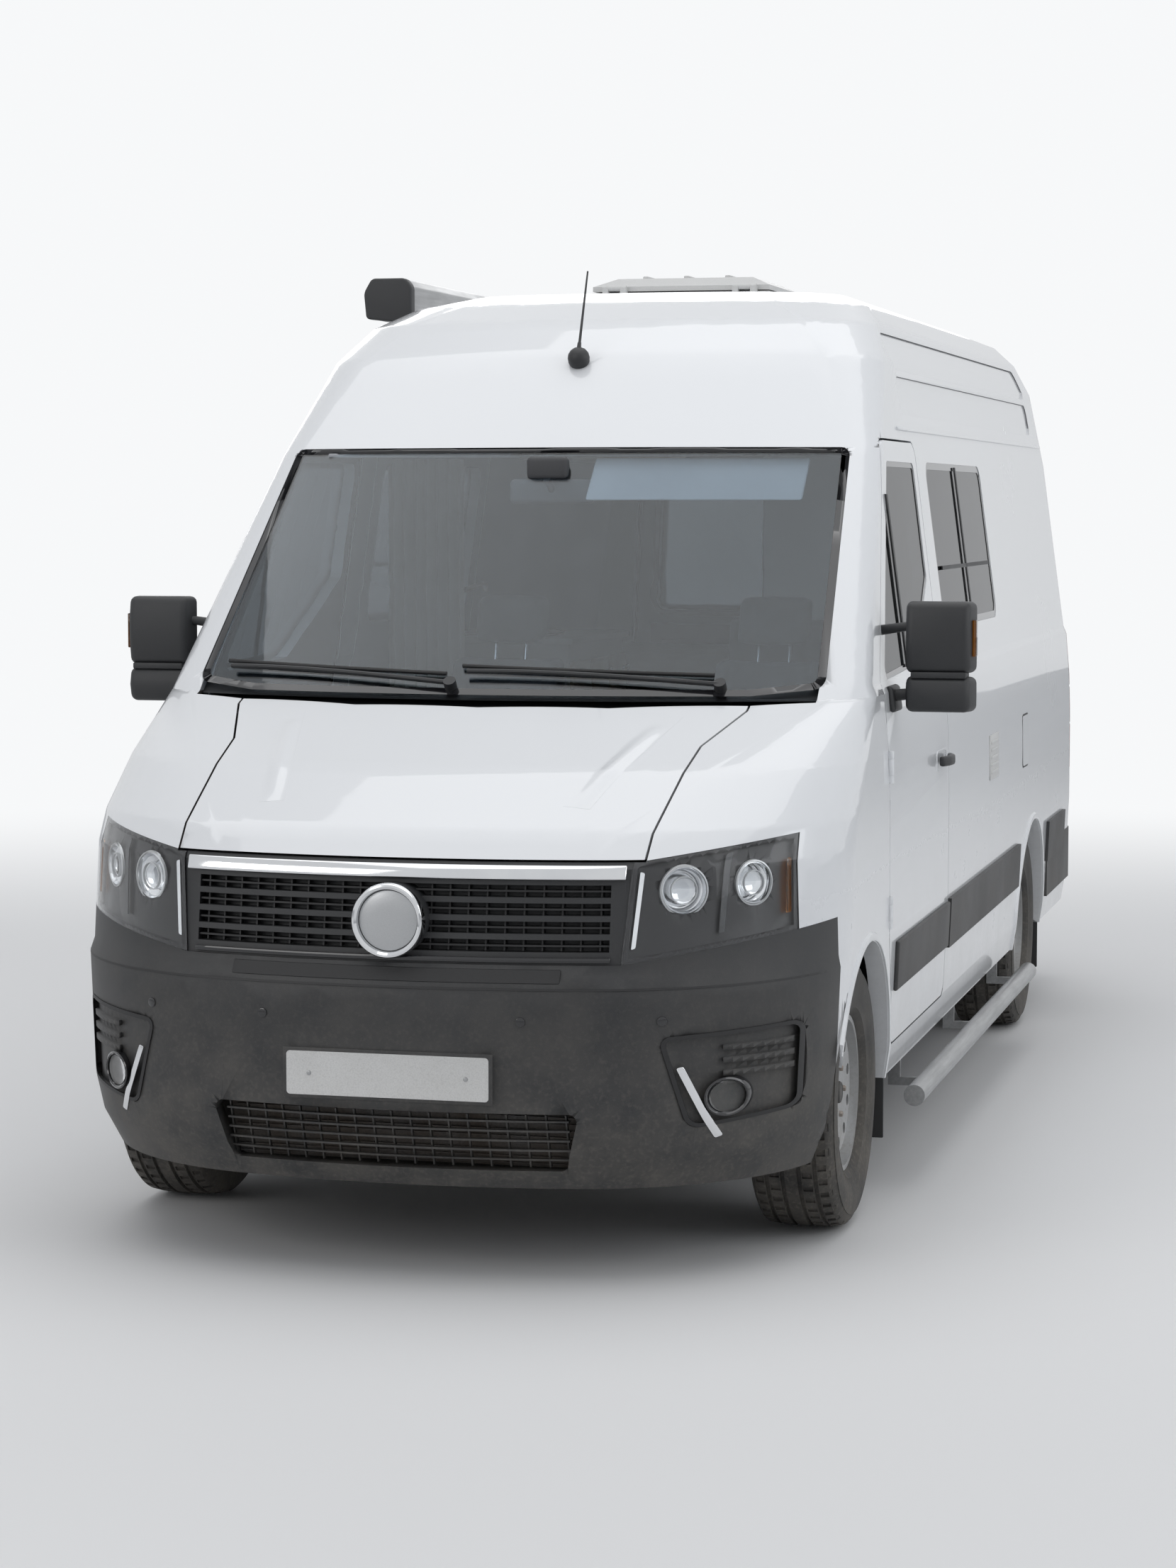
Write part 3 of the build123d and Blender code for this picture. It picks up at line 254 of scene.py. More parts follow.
def weave_group():
    """Woven cloth: two crossing sets of threads, the raised threads painted lighter as a painted highlight, broken up
    by fibre noise.
    """
    group, takes, end = new_group("woven threads", ["Height", "Painted_light_and_tone"], Scale=300.0)
    inputs = {"Vector": takes["Vector"], "Scale": takes["Scale"], "Distortion": 0.6, "Detail": 1.0}
    height = maths(group, "MAXIMUM", *(add_node(group, "TexWave", inputs, bands_direction=way).outputs["Fac"]
                                       for way in ("DIAGONAL", "Z")))
    fibre = noise(group, takes["Vector"], 220.0, 3.0)
    # Painted highlight on the raised threads, times fibre noise for the threads' own tone.
    feed(group, end, {"Height": height, "Painted_light_and_tone": maths(group, "MULTIPLY", height, fibre)})
    return group


def streaks_group():
    """Fine drawn streaks, as on brushed or rolled metal and on wood grain."""
    group, takes, end = new_group("drawn streaks", ["Height", "Painted_light_and_tone"], Scale=30.0)
    stretched = add_node(group, "Mapping", {"Vector": takes["Vector"], "Scale": (1.0, 0.06, 1.0)}).outputs["Vector"]
    lines = span(group, noise(group, stretched, takes["Scale"], 5.0, 0.6), 0.35, 0.65)
    feed(group, end, {"Height": lines, "Painted_light_and_tone": maths(group, "MULTIPLY", lines, 0.5)})
    return group


def ripple_group():
    """Faint waves of sprayed paint."""
    group, takes, end = new_group("paint ripple", ["Height"], Scale=260.0)
    feed(group, end, {"Height": noise(group, takes["Vector"], takes["Scale"], 1.0)})
    return group


PATCHES = patches_group()
FILM = film_group()
TEXTURES = {  # group, which of the two tones its output mixes in and how strongly: painted shade in grain, painted highlight in weave, own tone in streaks
    "grain": (grain_group(), 0, 0.5), "weave": (weave_group(), 1, 1.35), "streaks": (streaks_group(), 1, 0.62),
    "ripple": (ripple_group(), 0, None)}
ROAD_DIRT = (0.27, 0.245, 0.21)
USUAL_SLOT = {}


def finish(name, slot, tones, roughness, texture=None, film=None, patch_scale=2.0, metallic=0.0, coat=0.0,
           sheen=0.0):
    """Surface material: two tones in patches, its own texture, whose colour output paints shade into grain valleys
    and highlights onto raised weave threads, and road film near the ground.

    tones and roughness are pairs, texture is (kind, scale, depth) and film is (top, amount)."""
    material, tree, shader, place = new_material(name)
    patches = use_group(tree, PATCHES, place, Scale=patch_scale)["Mask"]
    colour = mix_colour(tree, patches, *tones)
    rough = span(tree, patches, 0.0, 1.0, *roughness)
    if texture:
        kind, scale, depth = texture
        group, tone, strength = TEXTURES[kind]
        made = use_group(tree, group, place, Scale=scale)
        bump = add_node(tree, "Bump", {"Strength": 1.0, "Distance": depth, "Height": made["Height"]})
        feed(tree, shader, {"Normal": bump.outputs["Normal"]})
        # Painted light from the texture: darker grain valleys, lighter raised weave threads; streaks shift the own
        # tone.
        if strength:
            colour = mix_colour(tree, made["Painted_light_and_tone"], colour, tuple(min(1.0, strength * c) for c in tones[tone]))
    if film:
        dirt = use_group(tree, FILM, place, Top=film[0], Amount=film[1])["Mask"]
        colour = mix_colour(tree, dirt, colour, ROAD_DIRT)
        rough = maths(tree, "ADD", rough, maths(tree, "MULTIPLY", dirt, 0.5), True)
    feed(tree, shader, {"Base Color": colour, "Roughness": rough, "Metallic": metallic, "Coat Weight": coat,
                        "Coat Roughness": 0.03, "Sheen Weight": sheen})
    USUAL_SLOT[name] = slot
    return material


def glass(name, slot, colour, roughness=0.0, ior=1.45):
    """Glass or clear lens that lets lamp light through."""
    material, tree, shader, place = new_material(name)
    wiped = use_group(tree, PATCHES, place, Scale=3.0)["Mask"]
    feed(tree, shader, {"Base Color": mix_colour(tree, wiped, colour, tuple(0.94 * c for c in colour)),
                        "Roughness": span(tree, wiped, 0.0, 1.0, roughness, roughness + 0.015),
                        "Transmission Weight": 1.0, "IOR": ior})
    shadow = add_node(tree, "LightPath", {}).outputs["Is Shadow Ray"]
    surface = blend(tree, shadow, shader, add_node(tree, "BsdfTransparent", {"Color": colour}))
    feed(tree, tree.nodes["Material Output"], {"Surface": surface.outputs[0]})
    USUAL_SLOT[name] = slot
    return material


WHITE_PAINT = finish("white_paint_finish", "white_paint", ((0.775, 0.79, 0.81), (0.7742, 0.7892, 0.8092)),
                     (0.27, 0.274), ("ripple", 260.0, 0.00002), (0.95, 0.24), 0.7, coat=0.9)
BLACK_PLASTIC = finish("black_plastic_finish", "black_plastic", ((0.022, 0.023, 0.025), (0.034, 0.035, 0.037)),
                       (0.42, 0.56), ("grain", 900.0, 0.00025), (0.9, 0.35))
GLOSS_BLACK = finish("gloss_black_finish", "black_plastic", ((0.010, 0.010, 0.012), (0.018, 0.018, 0.02)),
                     (0.08, 0.16), coat=0.6)
LAMP_HOUSING = finish("lamp_housing_finish", "black_plastic", ((0.013, 0.013, 0.015), (0.02, 0.02, 0.022)),
                      (0.36, 0.46), ("grain", 900.0, 0.0001))
DARK_STEEL = finish("chassis_steel_finish", "dark_steel", ((0.035, 0.035, 0.037), (0.07, 0.062, 0.055)),
                    (0.5, 0.75), ("grain", 160.0, 0.0005), (0.9, 0.6), 6.0, 0.4)
BARE_STEEL = finish("bare_steel_finish", "bare_steel", ((0.36, 0.35, 0.34), (0.24, 0.17, 0.12)),
                    (0.38, 0.6), ("streaks", 60.0, 0.0002), (0.8, 0.4), 9.0, 0.85)
CAST = finish("cast_metal_finish", "cast", ((0.12, 0.12, 0.125), (0.16, 0.13, 0.11)),
              (0.55, 0.8), ("grain", 220.0, 0.0008), (0.9, 0.5), 8.0, 0.6)
RUBBER = finish("tyre_rubber_finish", "tyre", ((0.018, 0.018, 0.019), (0.035, 0.034, 0.033)),
                (0.6, 0.82), ("grain", 500.0, 0.0003), (0.85, 0.45), 5.0)
SEAL_RUBBER = finish("seal_rubber_finish", "black_plastic", ((0.012, 0.012, 0.013), (0.02, 0.02, 0.021)),
                     (0.5, 0.62), ("grain", 700.0, 0.00015))
WHEEL_SILVER = finish("wheel_silver_finish", "bare_steel", ((0.55, 0.56, 0.57), (0.48, 0.49, 0.50)),
                      (0.28, 0.4), ("grain", 800.0, 0.0001), (0.8, 0.5), metallic=0.7, coat=0.3)
CHROME = finish("bright_trim_finish", "bare_steel", ((0.80, 0.81, 0.82), (0.72, 0.73, 0.75)),
                (0.05, 0.14), patch_scale=6.0, metallic=1.0)
ALUMINIUM = finish("anodised_finish", "aluminium", ((0.50, 0.505, 0.51), (0.42, 0.425, 0.43)),
                   (0.3, 0.42), ("streaks", 80.0, 0.0001), metallic=0.8)
DARK_ALUMINIUM = finish("dark_anodised_finish", "aluminium", ((0.05, 0.052, 0.056), (0.075, 0.077, 0.08)),
                        (0.3, 0.42), ("streaks", 80.0, 0.0001), metallic=0.5)
SEAT_CLOTH = finish("seat_cloth_finish", "grey_fabric", ((0.075, 0.078, 0.085), (0.12, 0.122, 0.13)),
                    (0.85, 0.95), ("weave", 420.0, 0.0006), sheen=0.25)
CURTAIN_CLOTH = finish("curtain_cloth_finish", "mattress_fabric", ((0.50, 0.46, 0.41), (0.58, 0.54, 0.49)),
                       (0.85, 0.95), ("weave", 500.0, 0.0003), sheen=0.2)
BED_CLOTH = finish("bed_cloth_finish", "mattress_fabric", ((0.55, 0.55, 0.53), (0.64, 0.64, 0.62)),
                   (0.85, 0.95), ("weave", 380.0, 0.0005), sheen=0.2)
WOOD_BOARD = finish("wood_board_finish", "cabinet_board", ((0.55, 0.42, 0.28), (0.42, 0.30, 0.19)),
                    (0.35, 0.5), ("streaks", 26.0, 0.0002), patch_scale=3.0)
PALE_BOARD = finish("pale_board_finish", "cabinet_board", ((0.62, 0.61, 0.58), (0.56, 0.55, 0.52)),
                    (0.35, 0.48), ("grain", 600.0, 0.0001))
DASH_PLASTIC = finish("dash_plastic_finish", "black_plastic", ((0.045, 0.046, 0.05), (0.065, 0.066, 0.07)),
                      (0.5, 0.65), ("grain", 800.0, 0.0003))
FLOOR_SHEET = finish("floor_sheet_finish", None, ((0.16, 0.155, 0.15), (0.22, 0.21, 0.20)),
                     (0.5, 0.7), ("grain", 260.0, 0.0004))
PALE_PLASTIC = finish("pale_plastic_finish", "pale_plastic", ((0.66, 0.66, 0.65), (0.60, 0.60, 0.59)),
                      (0.34, 0.46), ("grain", 500.0, 0.00015))
PLATE_FACE = finish("plate_face_finish", "pale_plastic", ((0.72, 0.72, 0.71), (0.66, 0.66, 0.65)),
                    (0.3, 0.42), ("grain", 300.0, 0.0001), (0.9, 0.25))
VISOR_VINYL = finish("visor_vinyl_finish", "pale_plastic", ((0.40, 0.41, 0.43), (0.35, 0.36, 0.38)),
                     (0.6, 0.75), ("grain", 600.0, 0.0002))
CAB_LINING = finish("cab_lining_finish", "black_plastic", ((0.20, 0.205, 0.215), (0.25, 0.255, 0.265)),
                    (0.8, 0.92), ("grain", 420.0, 0.0003), sheen=0.1)
SCREEN_GLASS = glass("windscreen_glass", None, (0.66, 0.75, 0.82))
DARK_GLASS = glass("dark_side_glass", None, (0.055, 0.06, 0.065), ior=1.22)
LENS = glass("clear_lens_plastic", "clear_lens", (0.95, 0.96, 0.97), ior=1.25)
RED_LENS = glass("red_lens_plastic", "red_lens", (0.62, 0.02, 0.015), 0.03)
AMBER_LENS = glass("amber_lens_plastic", "clear_lens", (0.9, 0.32, 0.03), 0.03)

NODE_FINISHES = (  # the CAD nodes of each finish, without _left and _right
    (WHITE_PAINT, "bodyside roof_panel front_wings sliding_door bonnet cab_door rear_door"),
    (BLACK_PLASTIC, "fuel_tank cowl grille front_bumper rear_bumper side_strips aerial mirror"),
    (DARK_STEEL, "frame_rails bulkhead front_subframe front_struts rear_axle"),
    (DARK_GLASS, "side_windows cab_door_glass rear_door_glass"), (SCREEN_GLASS, "windscreen"),
    (LENS, "headlamps"), (LAMP_HOUSING, "headlamp_units"), (RED_LENS, "tail_lamps"),
    (CAST, "engine_block knuckle"), (BARE_STEEL, "exhaust"), (FLOOR_SHEET, "floor_pan"),
    (ALUMINIUM, "side_bars awning"), (DASH_PLASTIC, "dashboard steering_wheel"), (SEAT_CLOTH, "seats"),
    (PALE_BOARD, "living_furniture"), (BED_CLOTH, "mattress"), (PALE_PLASTIC, "hatch_frame hatch_lid"),
    (WHEEL_SILVER, "wheel_front wheel_rear"), (RUBBER, "tyre_front tyre_rear"))


def dress_nodes():
    """Each CAD node gets its finish in every slot."""
    finish_of = {node: material for material, nodes in NODE_FINISHES for node in nodes.split()}
    for name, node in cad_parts.items():
        for slot in node.material_slots:
            slot.material = finish_of[name.removesuffix("_left").removesuffix("_right")]


# The skin's shape, level by level, so that pieces drawn on a flat board can be laid against it

LEVELS = (  # height, nose, half width, front corner radius, tail
    (0.240, 0.090, 0.960, 0.66, 5.930), (0.330, 0.025, 0.992, 0.69, 5.935), (0.420, 0.000, 1.006, 0.70, 5.940),
    (0.745, 0.000, 1.020, 0.70, 5.945), (0.775, 0.030, 1.020, 0.70, 5.945), (1.030, 0.066, 1.020, 0.70, 5.944),
    (1.110, 0.150, 1.019, 0.65, 5.943), (1.240, 0.420, 1.015, 0.48, 5.942), (1.400, 0.857, 1.002, 0.17, 5.940),
    (1.430, 0.890, 0.990, 0.13, 5.939), (2.065, 1.593, 0.905, 0.15, 5.924), (2.346, 1.910, 0.850, 0.22, 5.900),
    (2.460, 2.110, 0.795, 0.26, 5.870), (2.530, 2.330, 0.725, 0.30, 5.825), (2.575, 2.600, 0.610, 0.30, 5.740),
    (2.590, 2.850, 0.440, 0.25, 5.600))
BOW = 2.2


def level_at(z):
    """Nose, half width, corner radius and tail of the skin at a height."""
    z = clamp(z, LEVELS[0][0], LEVELS[-1][0])
    for low_row, high_row in zip(LEVELS, LEVELS[1:]):
        if z <= high_row[0]:
            share = (z - low_row[0]) / (high_row[0] - low_row[0])
            return [a + share * (b - a) for a, b in zip(low_row[1:], high_row[1:])]


def front_y(x, z, inset=0.0):
    """Y of the front skin, or of the surface that lies this far inside it."""
    nose, half, radius, _ = level_at(z)
    nose, half, radius, bow = nose + inset, half - inset, max(radius - inset, 0.02), BOW - inset
    x = min(abs(x), half - 0.001)
    if x < bow * (half - radius) / (bow - radius):
        return behind(nose + bow - math.sqrt(bow ** 2 - x ** 2))
    reach = math.sqrt((bow - radius) ** 2 - (half - radius) ** 2)
    return behind(nose + bow - reach - math.sqrt(radius ** 2 - (x - half + radius) ** 2))


def side_x(z):
    return level_at(z)[1]


def tail_y(z):
    return behind(level_at(z)[3])


def top_z(x, y, inset=0.0):
    """Height of the bonnet's skin, or of the surface this far inside it, over a place."""
    low, high = 1.03, 1.43
    for _ in range(24):
        middle = (low + high) / 2
        if front_y(x, middle, inset) < y:
            low = middle
        else:
            high = middle
    return low


def front_out(x, z):
    """Direction straight out of the front skin, seen in plan."""
    slope = (front_y(x + 0.002, z) - front_y(x - 0.002, z)) / 0.004
    return Vector((slope, -1.0, 0.0)).normalized()


# Modelling steps; most give their piece back

def choose(piece):
    bpy.ops.object.select_all(action="DESELECT")
    piece.select_set(True)
    bpy.context.view_layer.objects.active = piece


def bake_place(piece):
    choose(piece)
    bpy.ops.object.transform_apply(location=True, rotation=True, scale=True)


def unpick(piece, kind):
    """Leaves nothing picked in edit mode, which works on faces or on edges."""
    choose(piece)
    bpy.ops.object.mode_set(mode="EDIT")
    bpy.ops.mesh.select_mode(type=kind)
    bpy.ops.mesh.select_all(action="DESELECT")
    bpy.ops.object.mode_set(mode="OBJECT")


def edit_faces(piece, test):
    """Enters edit mode with the faces picked for which test(centre, normal) holds."""
    unpick(piece, "FACE")
    for face in piece.data.polygons:
        face.select = bool(test(face.center, face.normal))
    bpy.ops.object.mode_set(mode="EDIT")


def edit_all(piece):
    choose(piece)
    bpy.ops.object.mode_set(mode="EDIT")
    bpy.ops.mesh.select_all(action="SELECT")


def leave_edit():
    bpy.ops.object.mode_set(mode="OBJECT")


def right_way_out(piece):
    edit_all(piece)
    bpy.ops.mesh.remove_doubles(threshold=0.00002)
    bpy.ops.mesh.normals_make_consistent(inside=False)
    leave_edit()
    return piece


def apply_modifier(piece, kind, **values):
    choose(piece)
    modifier = piece.modifiers.new(kind.lower(), kind)
    for label, value in values.items():
        setattr(modifier, label, value)
    bpy.ops.object.modifier_apply(modifier=modifier.name)
    return piece


def soften(piece, width, segments=2):
    """Rounds the sharp edges a little."""
    return apply_modifier(piece, "BEVEL", width=width, segments=segments, limit_method="ANGLE",
                          angle_limit=math.radians(40))


def thicken(piece, thickness, side=0.0):
    return apply_modifier(piece, "SOLIDIFY", thickness=thickness, offset=side)


def reshape(piece, place):
    """Moves every point to the place that this rule gives for its coordinates."""
    for vertex in piece.data.vertices:
        vertex.co = place(*vertex.co)
    return piece


def move(piece, x=0.0, y=0.0, z=0.0):
    return reshape(piece, lambda a, b, c: (a + x, b + y, c + z))


def facing(axis, sign=1, least=0.9):
    """Test for faces that look along an axis."""
    return lambda centre, normal: sign * normal[axis] > least


def press(piece, test, *insets, shift=None):
    """Insets the faces that pass a test by (thickness, depth) once or more, then moves them."""
    edit_faces(piece, test)
    for thickness, depth in insets:
        bpy.ops.mesh.inset(thickness=thickness, depth=depth)
    if shift:
        bpy.ops.transform.translate(value=shift)
    leave_edit()
    return piece


def drop_faces(piece, test):
    edit_faces(piece, test)
    bpy.ops.mesh.delete(type="FACE")
    leave_edit()


def cut_lengths(piece, axis, length):
    """Cuts long edges along an axis into equal parts, so that the piece can bend."""
    def is_long(edge):
        run = points[edge.vertices[1]].co - points[edge.vertices[0]].co
        return abs(run[axis]) > length and abs(run[axis]) > 0.7 * run.length
    for _ in range(7):
        unpick(piece, "EDGE")
        points = piece.data.vertices
        for edge in piece.data.edges:
            edge.select = is_long(edge)
        bpy.ops.object.mode_set(mode="EDIT")
        bpy.ops.mesh.subdivide(number_cuts=1)
        leave_edit()
        points = piece.data.vertices
        if not any(is_long(edge) for edge in piece.data.edges):
            break


def shape(piece, edge=0.0, segments=2, **cuts):
    """Cuts long edges along x, y or z to the given lengths, then rounds the edges."""
    for axis, length in cuts.items():
        cut_lengths(piece, "xyz".index(axis), length)
    if edge:
        soften(piece, edge, segments)
    return piece


def block(low, high, edge=0.0, segments=2, **cuts):
    """Box between two corners, with its edges cut and rounded."""
    bpy.ops.mesh.primitive_cube_add(size=1, location=[(a + b) / 2 for a, b in zip(low, high)])
    piece = bpy.context.object
    piece.scale = [b - a for a, b in zip(low, high)]
    bake_place(piece)
    return shape(piece, edge, segments, **cuts)


def van_block(low, high, edge=0.0, segments=2, **cuts):
    """Block between two corners, each (x, distance behind the nose, z)."""
    return block(spot(*low), spot(*high), edge, segments, **cuts)


def bar(start, end, radius, sides=16, end_radius=None):
    """Round bar or cone between two points."""
    start, end = Vector(start), Vector(end)
    bpy.ops.mesh.primitive_cone_add(vertices=sides, radius1=radius, radius2=end_radius or radius,
                                    depth=(end - start).length, location=(start + end) / 2)
    piece = bpy.context.object
    piece.rotation_mode = "QUATERNION"
    piece.rotation_quaternion = (end - start).to_track_quat("Z", "Y")
    bake_place(piece)
    return piece


def bars(points, radius, sides=16):
    """Round bars from point to point."""
    return [bar(a, b, radius, sides) for a, b in zip(points, points[1:])]


def van_bar(start, end, radius, sides=16, end_radius=None):
    """Round bar between two places, each (x, distance behind the nose, z)."""
    return bar(spot(*start), spot(*end), radius, sides, end_radius)


def van_bars(runs, radius, sides=16):
    """Round bars, each through its places (x, distance behind the nose, z)."""
    return [piece for run in runs for piece in bars([spot(*place) for place in run], radius, sides)]


def rectangle(a, b, c, d):
    """Corners of the rectangle from (a, b) to (c, d)."""
    return [(a, b), (c, b), (c, d), (a, d)]


def outline(points, corner, axes="xz", ring=0.0):
    """Flat outline with rounded corners in the plane of two axes, or a ring of this width just inside it.

    Along y the points give their distance behind the nose."""
    bpy.ops.mesh.primitive_circle_add(vertices=len(points), fill_type="NGON", radius=1)
    piece = bpy.context.object
    for vertex, point in zip(piece.data.vertices, points):
        at = dict(zip(axes, point))
        vertex.co = (at.get("x", 0.0), behind(at["y"]) if "y" in at else 0.0, at.get("z", 0.0))
    edit_all(piece)
    bpy.ops.mesh.bevel(offset=corner, segments=5, affect="VERTICES")
    if ring:
        bpy.ops.mesh.select_all(action="SELECT")
        bpy.ops.mesh.inset(thickness=ring, use_even_offset=True)
        bpy.ops.mesh.delete(type="FACE")
    leave_edit()
    return piece


def board(points, corner, thickness, axes="xz", ring=0.0, edge=0.0, segments=2, **cuts):
    """Outline or ring made into a board, with its edges cut and rounded."""
    piece = right_way_out(thicken(outline(points, corner, axes, ring), thickness))
    return shape(piece, edge, segments, **cuts)


def revolve(profile, centre, axis, steps=48, closed=True):
    """Turned piece: profile is (distance along the axis, radius) from end to end, its open end closed."""
    profile = list(profile)
    if closed and profile[0][1] > 0 and profile[-1][1] > 0:
        if math.dist(profile[0], profile[-1]) > 0.00001:
            profile.append(profile[0])
    elif closed and profile[0][1] > 0:
        profile.insert(0, (profile[0][0], 0.0))
    axis = Vector(axis).normalized()
    across = axis.orthogonal().normalized()
    bpy.ops.mesh.primitive_circle_add(vertices=max(3, len(profile)), radius=1)
    piece = bpy.context.object
    edit_all(piece)
    bpy.ops.mesh.delete(type="EDGE_FACE")
    leave_edit()
    for vertex, (along, radius) in zip(piece.data.vertices, profile):
        vertex.co = Vector(centre) + axis * along + across * radius
    piece.data.edges.add(len(profile) - 1)
    for index, edge in enumerate(piece.data.edges):
        edge.vertices = (index, index + 1)
    piece.data.update()
    piece.matrix_world.identity()
    edit_all(piece)
    bpy.ops.mesh.spin(steps=steps, angle=2 * math.pi, center=centre, axis=axis)
    leave_edit()
    return right_way_out(piece)


def on_front(piece):
    """Lays a piece against the front: its own Y becomes its depth behind the skin."""
    return reshape(piece, lambda x, y, z: (x, y + front_y(x, z), z))


def on_side(piece, sign=1):
    """Lays a piece against one side: its own X becomes how far it stands out."""
    reshape(piece, lambda x, y, z: (sign * (side_x(z) + x), y, z))
    return right_way_out(piece) if sign < 0 else piece


def on_tail(piece):
    """Lays a piece against the tail: its own Y is how far it stands out."""
    return reshape(piece, lambda x, y, z: (x, y + tail_y(z), z))


def stand_in(piece):
    """Lays a piece against the inside of the left cab door: its own X is how far it stands in."""
    return right_way_out(reshape(piece, lambda x, y, z: (side_x(z) - 0.050 - x, y, z)))


def stand_back(piece):
    """Lays a piece against the inside of the rear doors: its own Y is how far it stands in."""
    return right_way_out(reshape(piece, lambda x, y, z: (x, tail_y(z) - 0.050 - y, z)))


def copy_of(piece, mirror):
    """Another of the same piece with its own mesh, mirrored to the other side if wanted."""
    twin = piece.copy()
    twin.data = piece.data.copy()
    bpy.context.scene.collection.objects.link(twin)
    if mirror:
        reshape(twin, lambda x, y, z: (-x, y, z))
        twin.data.flip_normals()
    return twin


def join(pieces):
    """Joins pieces into the first."""
    bpy.ops.object.select_all(action="DESELECT")
    for piece in pieces:
        piece.select_set(True)
    bpy.context.view_layer.objects.active = pieces[0]
    if len(pieces) > 1:
        bpy.ops.object.join()
    return bpy.context.object


def ready(piece, name, material, body="chassis", smooth=35.0, slot="usual"):
    """Names a finished piece, or several as one, gives it its finish and lets it ride on its body."""
    if isinstance(piece, list):
        piece = join(piece)
    piece.name = name
    bake_place(piece)
    piece.data.materials.clear()
    piece.data.materials.append(material)
    bpy.ops.object.shade_smooth_by_angle(angle=math.radians(smooth))
    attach(piece, body)
    if slot == "usual":
        slot = USUAL_SLOT[material.name]
    piece.select_set(False)
    return piece


def both_sides(piece, name, material, body="chassis", smooth=35.0, slot="usual"):
    """The finished left piece and its mirror image; a body name ending in _left has its _right twin."""
    if isinstance(piece, list):
        piece = join(piece)
    twin = copy_of(piece, True)
    return (ready(piece, name + "_left", material, body, smooth, slot),
            ready(twin, name + "_right", material, body.replace("_left", "_right"), smooth, slot))


def cad_copy(node):
    """Own copy of a CAD node's mesh, with its loose triangles merged."""
    piece = bpy.data.objects.new(node + "_copy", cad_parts[node].data.copy())
    bpy.context.scene.collection.objects.link(piece)
    edit_all(piece)
    bpy.ops.mesh.remove_doubles(threshold=0.00005)
    leave_edit()
    return piece


def border_of(node, test, width, proud=0.0008):
    """Thin border band along the edge of a CAD pane's outer face."""
    piece = cad_copy(node)
    edit_faces(piece, lambda centre, normal: not test(centre, normal))
    bpy.ops.mesh.delete(type="FACE")
    bpy.ops.mesh.select_all(action="SELECT")
    bpy.ops.mesh.inset(thickness=width, use_boundary=True, use_even_offset=True)
    bpy.ops.mesh.delete(type="FACE")
    leave_edit()
    return thicken(piece, proud, 1.0)


# Filled pads

def swell(piece, voxel, most):
    """Fills a closed form as foam fills its cover; no point moves further than most."""
    right_way_out(piece)
    apply_modifier(piece, "REMESH", mode="VOXEL", voxel_size=voxel)
    before = [vertex.co.copy() for vertex in piece.data.vertices]
    choose(piece)
    cloth = piece.modifiers.new("swell", "CLOTH")
    cloth.settings.use_pressure = True
    cloth.settings.uniform_pressure_force = 4.0
    cloth.settings.effector_weights.gravity = 0.0
    cloth.settings.quality = 5
    for number in range(1, 21):
        bpy.context.scene.frame_set(number)
    bpy.ops.object.modifier_apply(modifier=cloth.name)
    bpy.context.scene.frame_set(1)
    for vertex, start in zip(piece.data.vertices, before):
        moved = vertex.co - start
        if moved.length > most:
            vertex.co = start + moved * (most / moved.length)


def sew(piece, axis, places, width, depth, picks):
    """Presses sewn lines into a pad: places are where they cross the axis, picks tells the sides by normal."""
    normals = [vertex.normal.copy() for vertex in piece.data.vertices]
    for vertex, normal in zip(piece.data.vertices, normals):
        if picks(vertex.co, normal):
            near = min(abs(vertex.co[axis] - place) for place in places)
            vertex.co -= normal * depth * math.exp(-(near / width) ** 2)


def fill_pad(piece, edge, voxel, most, *seams):
    """Rounded and filled pad with its sewn lines."""
    soften(piece, edge, 3)
    swell(piece, voxel, most)
    for seam in seams:
        sew(piece, *seam)
    return piece


def lean(piece):
    """Leans a seat's upright part back."""
    return reshape(piece, lambda x, y, z: (x, y + max(0.0, z - 0.905) * 0.34, z))


def padded(pieces, node):
    for piece in pieces:
        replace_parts(piece, node)


# Painted panels and lamps' own forms

SWINGING = ("bonnet", "cab_door_left", "cab_door_right", "rear_door_left", "rear_door_right")
PANELS = (  # CAD nodes, finish outside, finish inside
    ("roof_panel bodyside_left bodyside_right", WHITE_PAINT, CAB_LINING), ("front_wings", WHITE_PAINT, DARK_STEEL),
    ("sliding_door", WHITE_PAINT, CAB_LINING), ("bonnet", WHITE_PAINT, WHITE_PAINT),
    ("cab_door_left cab_door_right", WHITE_PAINT, DASH_PLASTIC),
    ("rear_door_left rear_door_right", WHITE_PAINT, CAB_LINING),
    ("front_bumper rear_bumper", BLACK_PLASTIC, BLACK_PLASTIC), ("headlamps", LENS, LENS),
    ("headlamp_units", LAMP_HOUSING, LAMP_HOUSING))


def add_body_panels():
    """Painted CAD panels in the same form with soft shading, their inner faces in their own finish."""
    for nodes, paint, inside in PANELS:
        for node in nodes.split():
            body = node if node in SWINGING else "chassis"
            piece = ready(cad_copy(node), node + "_painted", paint, body, 33.0, None)
            piece.data.materials.append(inside)
            for face in piece.data.polygons:
                core = Vector((0.0, clamp(face.center.y, -1.4, 2.2), clamp(face.center.z, 0.9, 1.9)))
                inwards = face.normal.dot((face.center - core).normalized()) < -0.25
                face.material_index = 1 if inwards else 0
            apply_modifier(piece, "WEIGHTED_NORMAL", keep_sharp=True, weight=50)
            piece.select_set(False)
            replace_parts(piece, node)


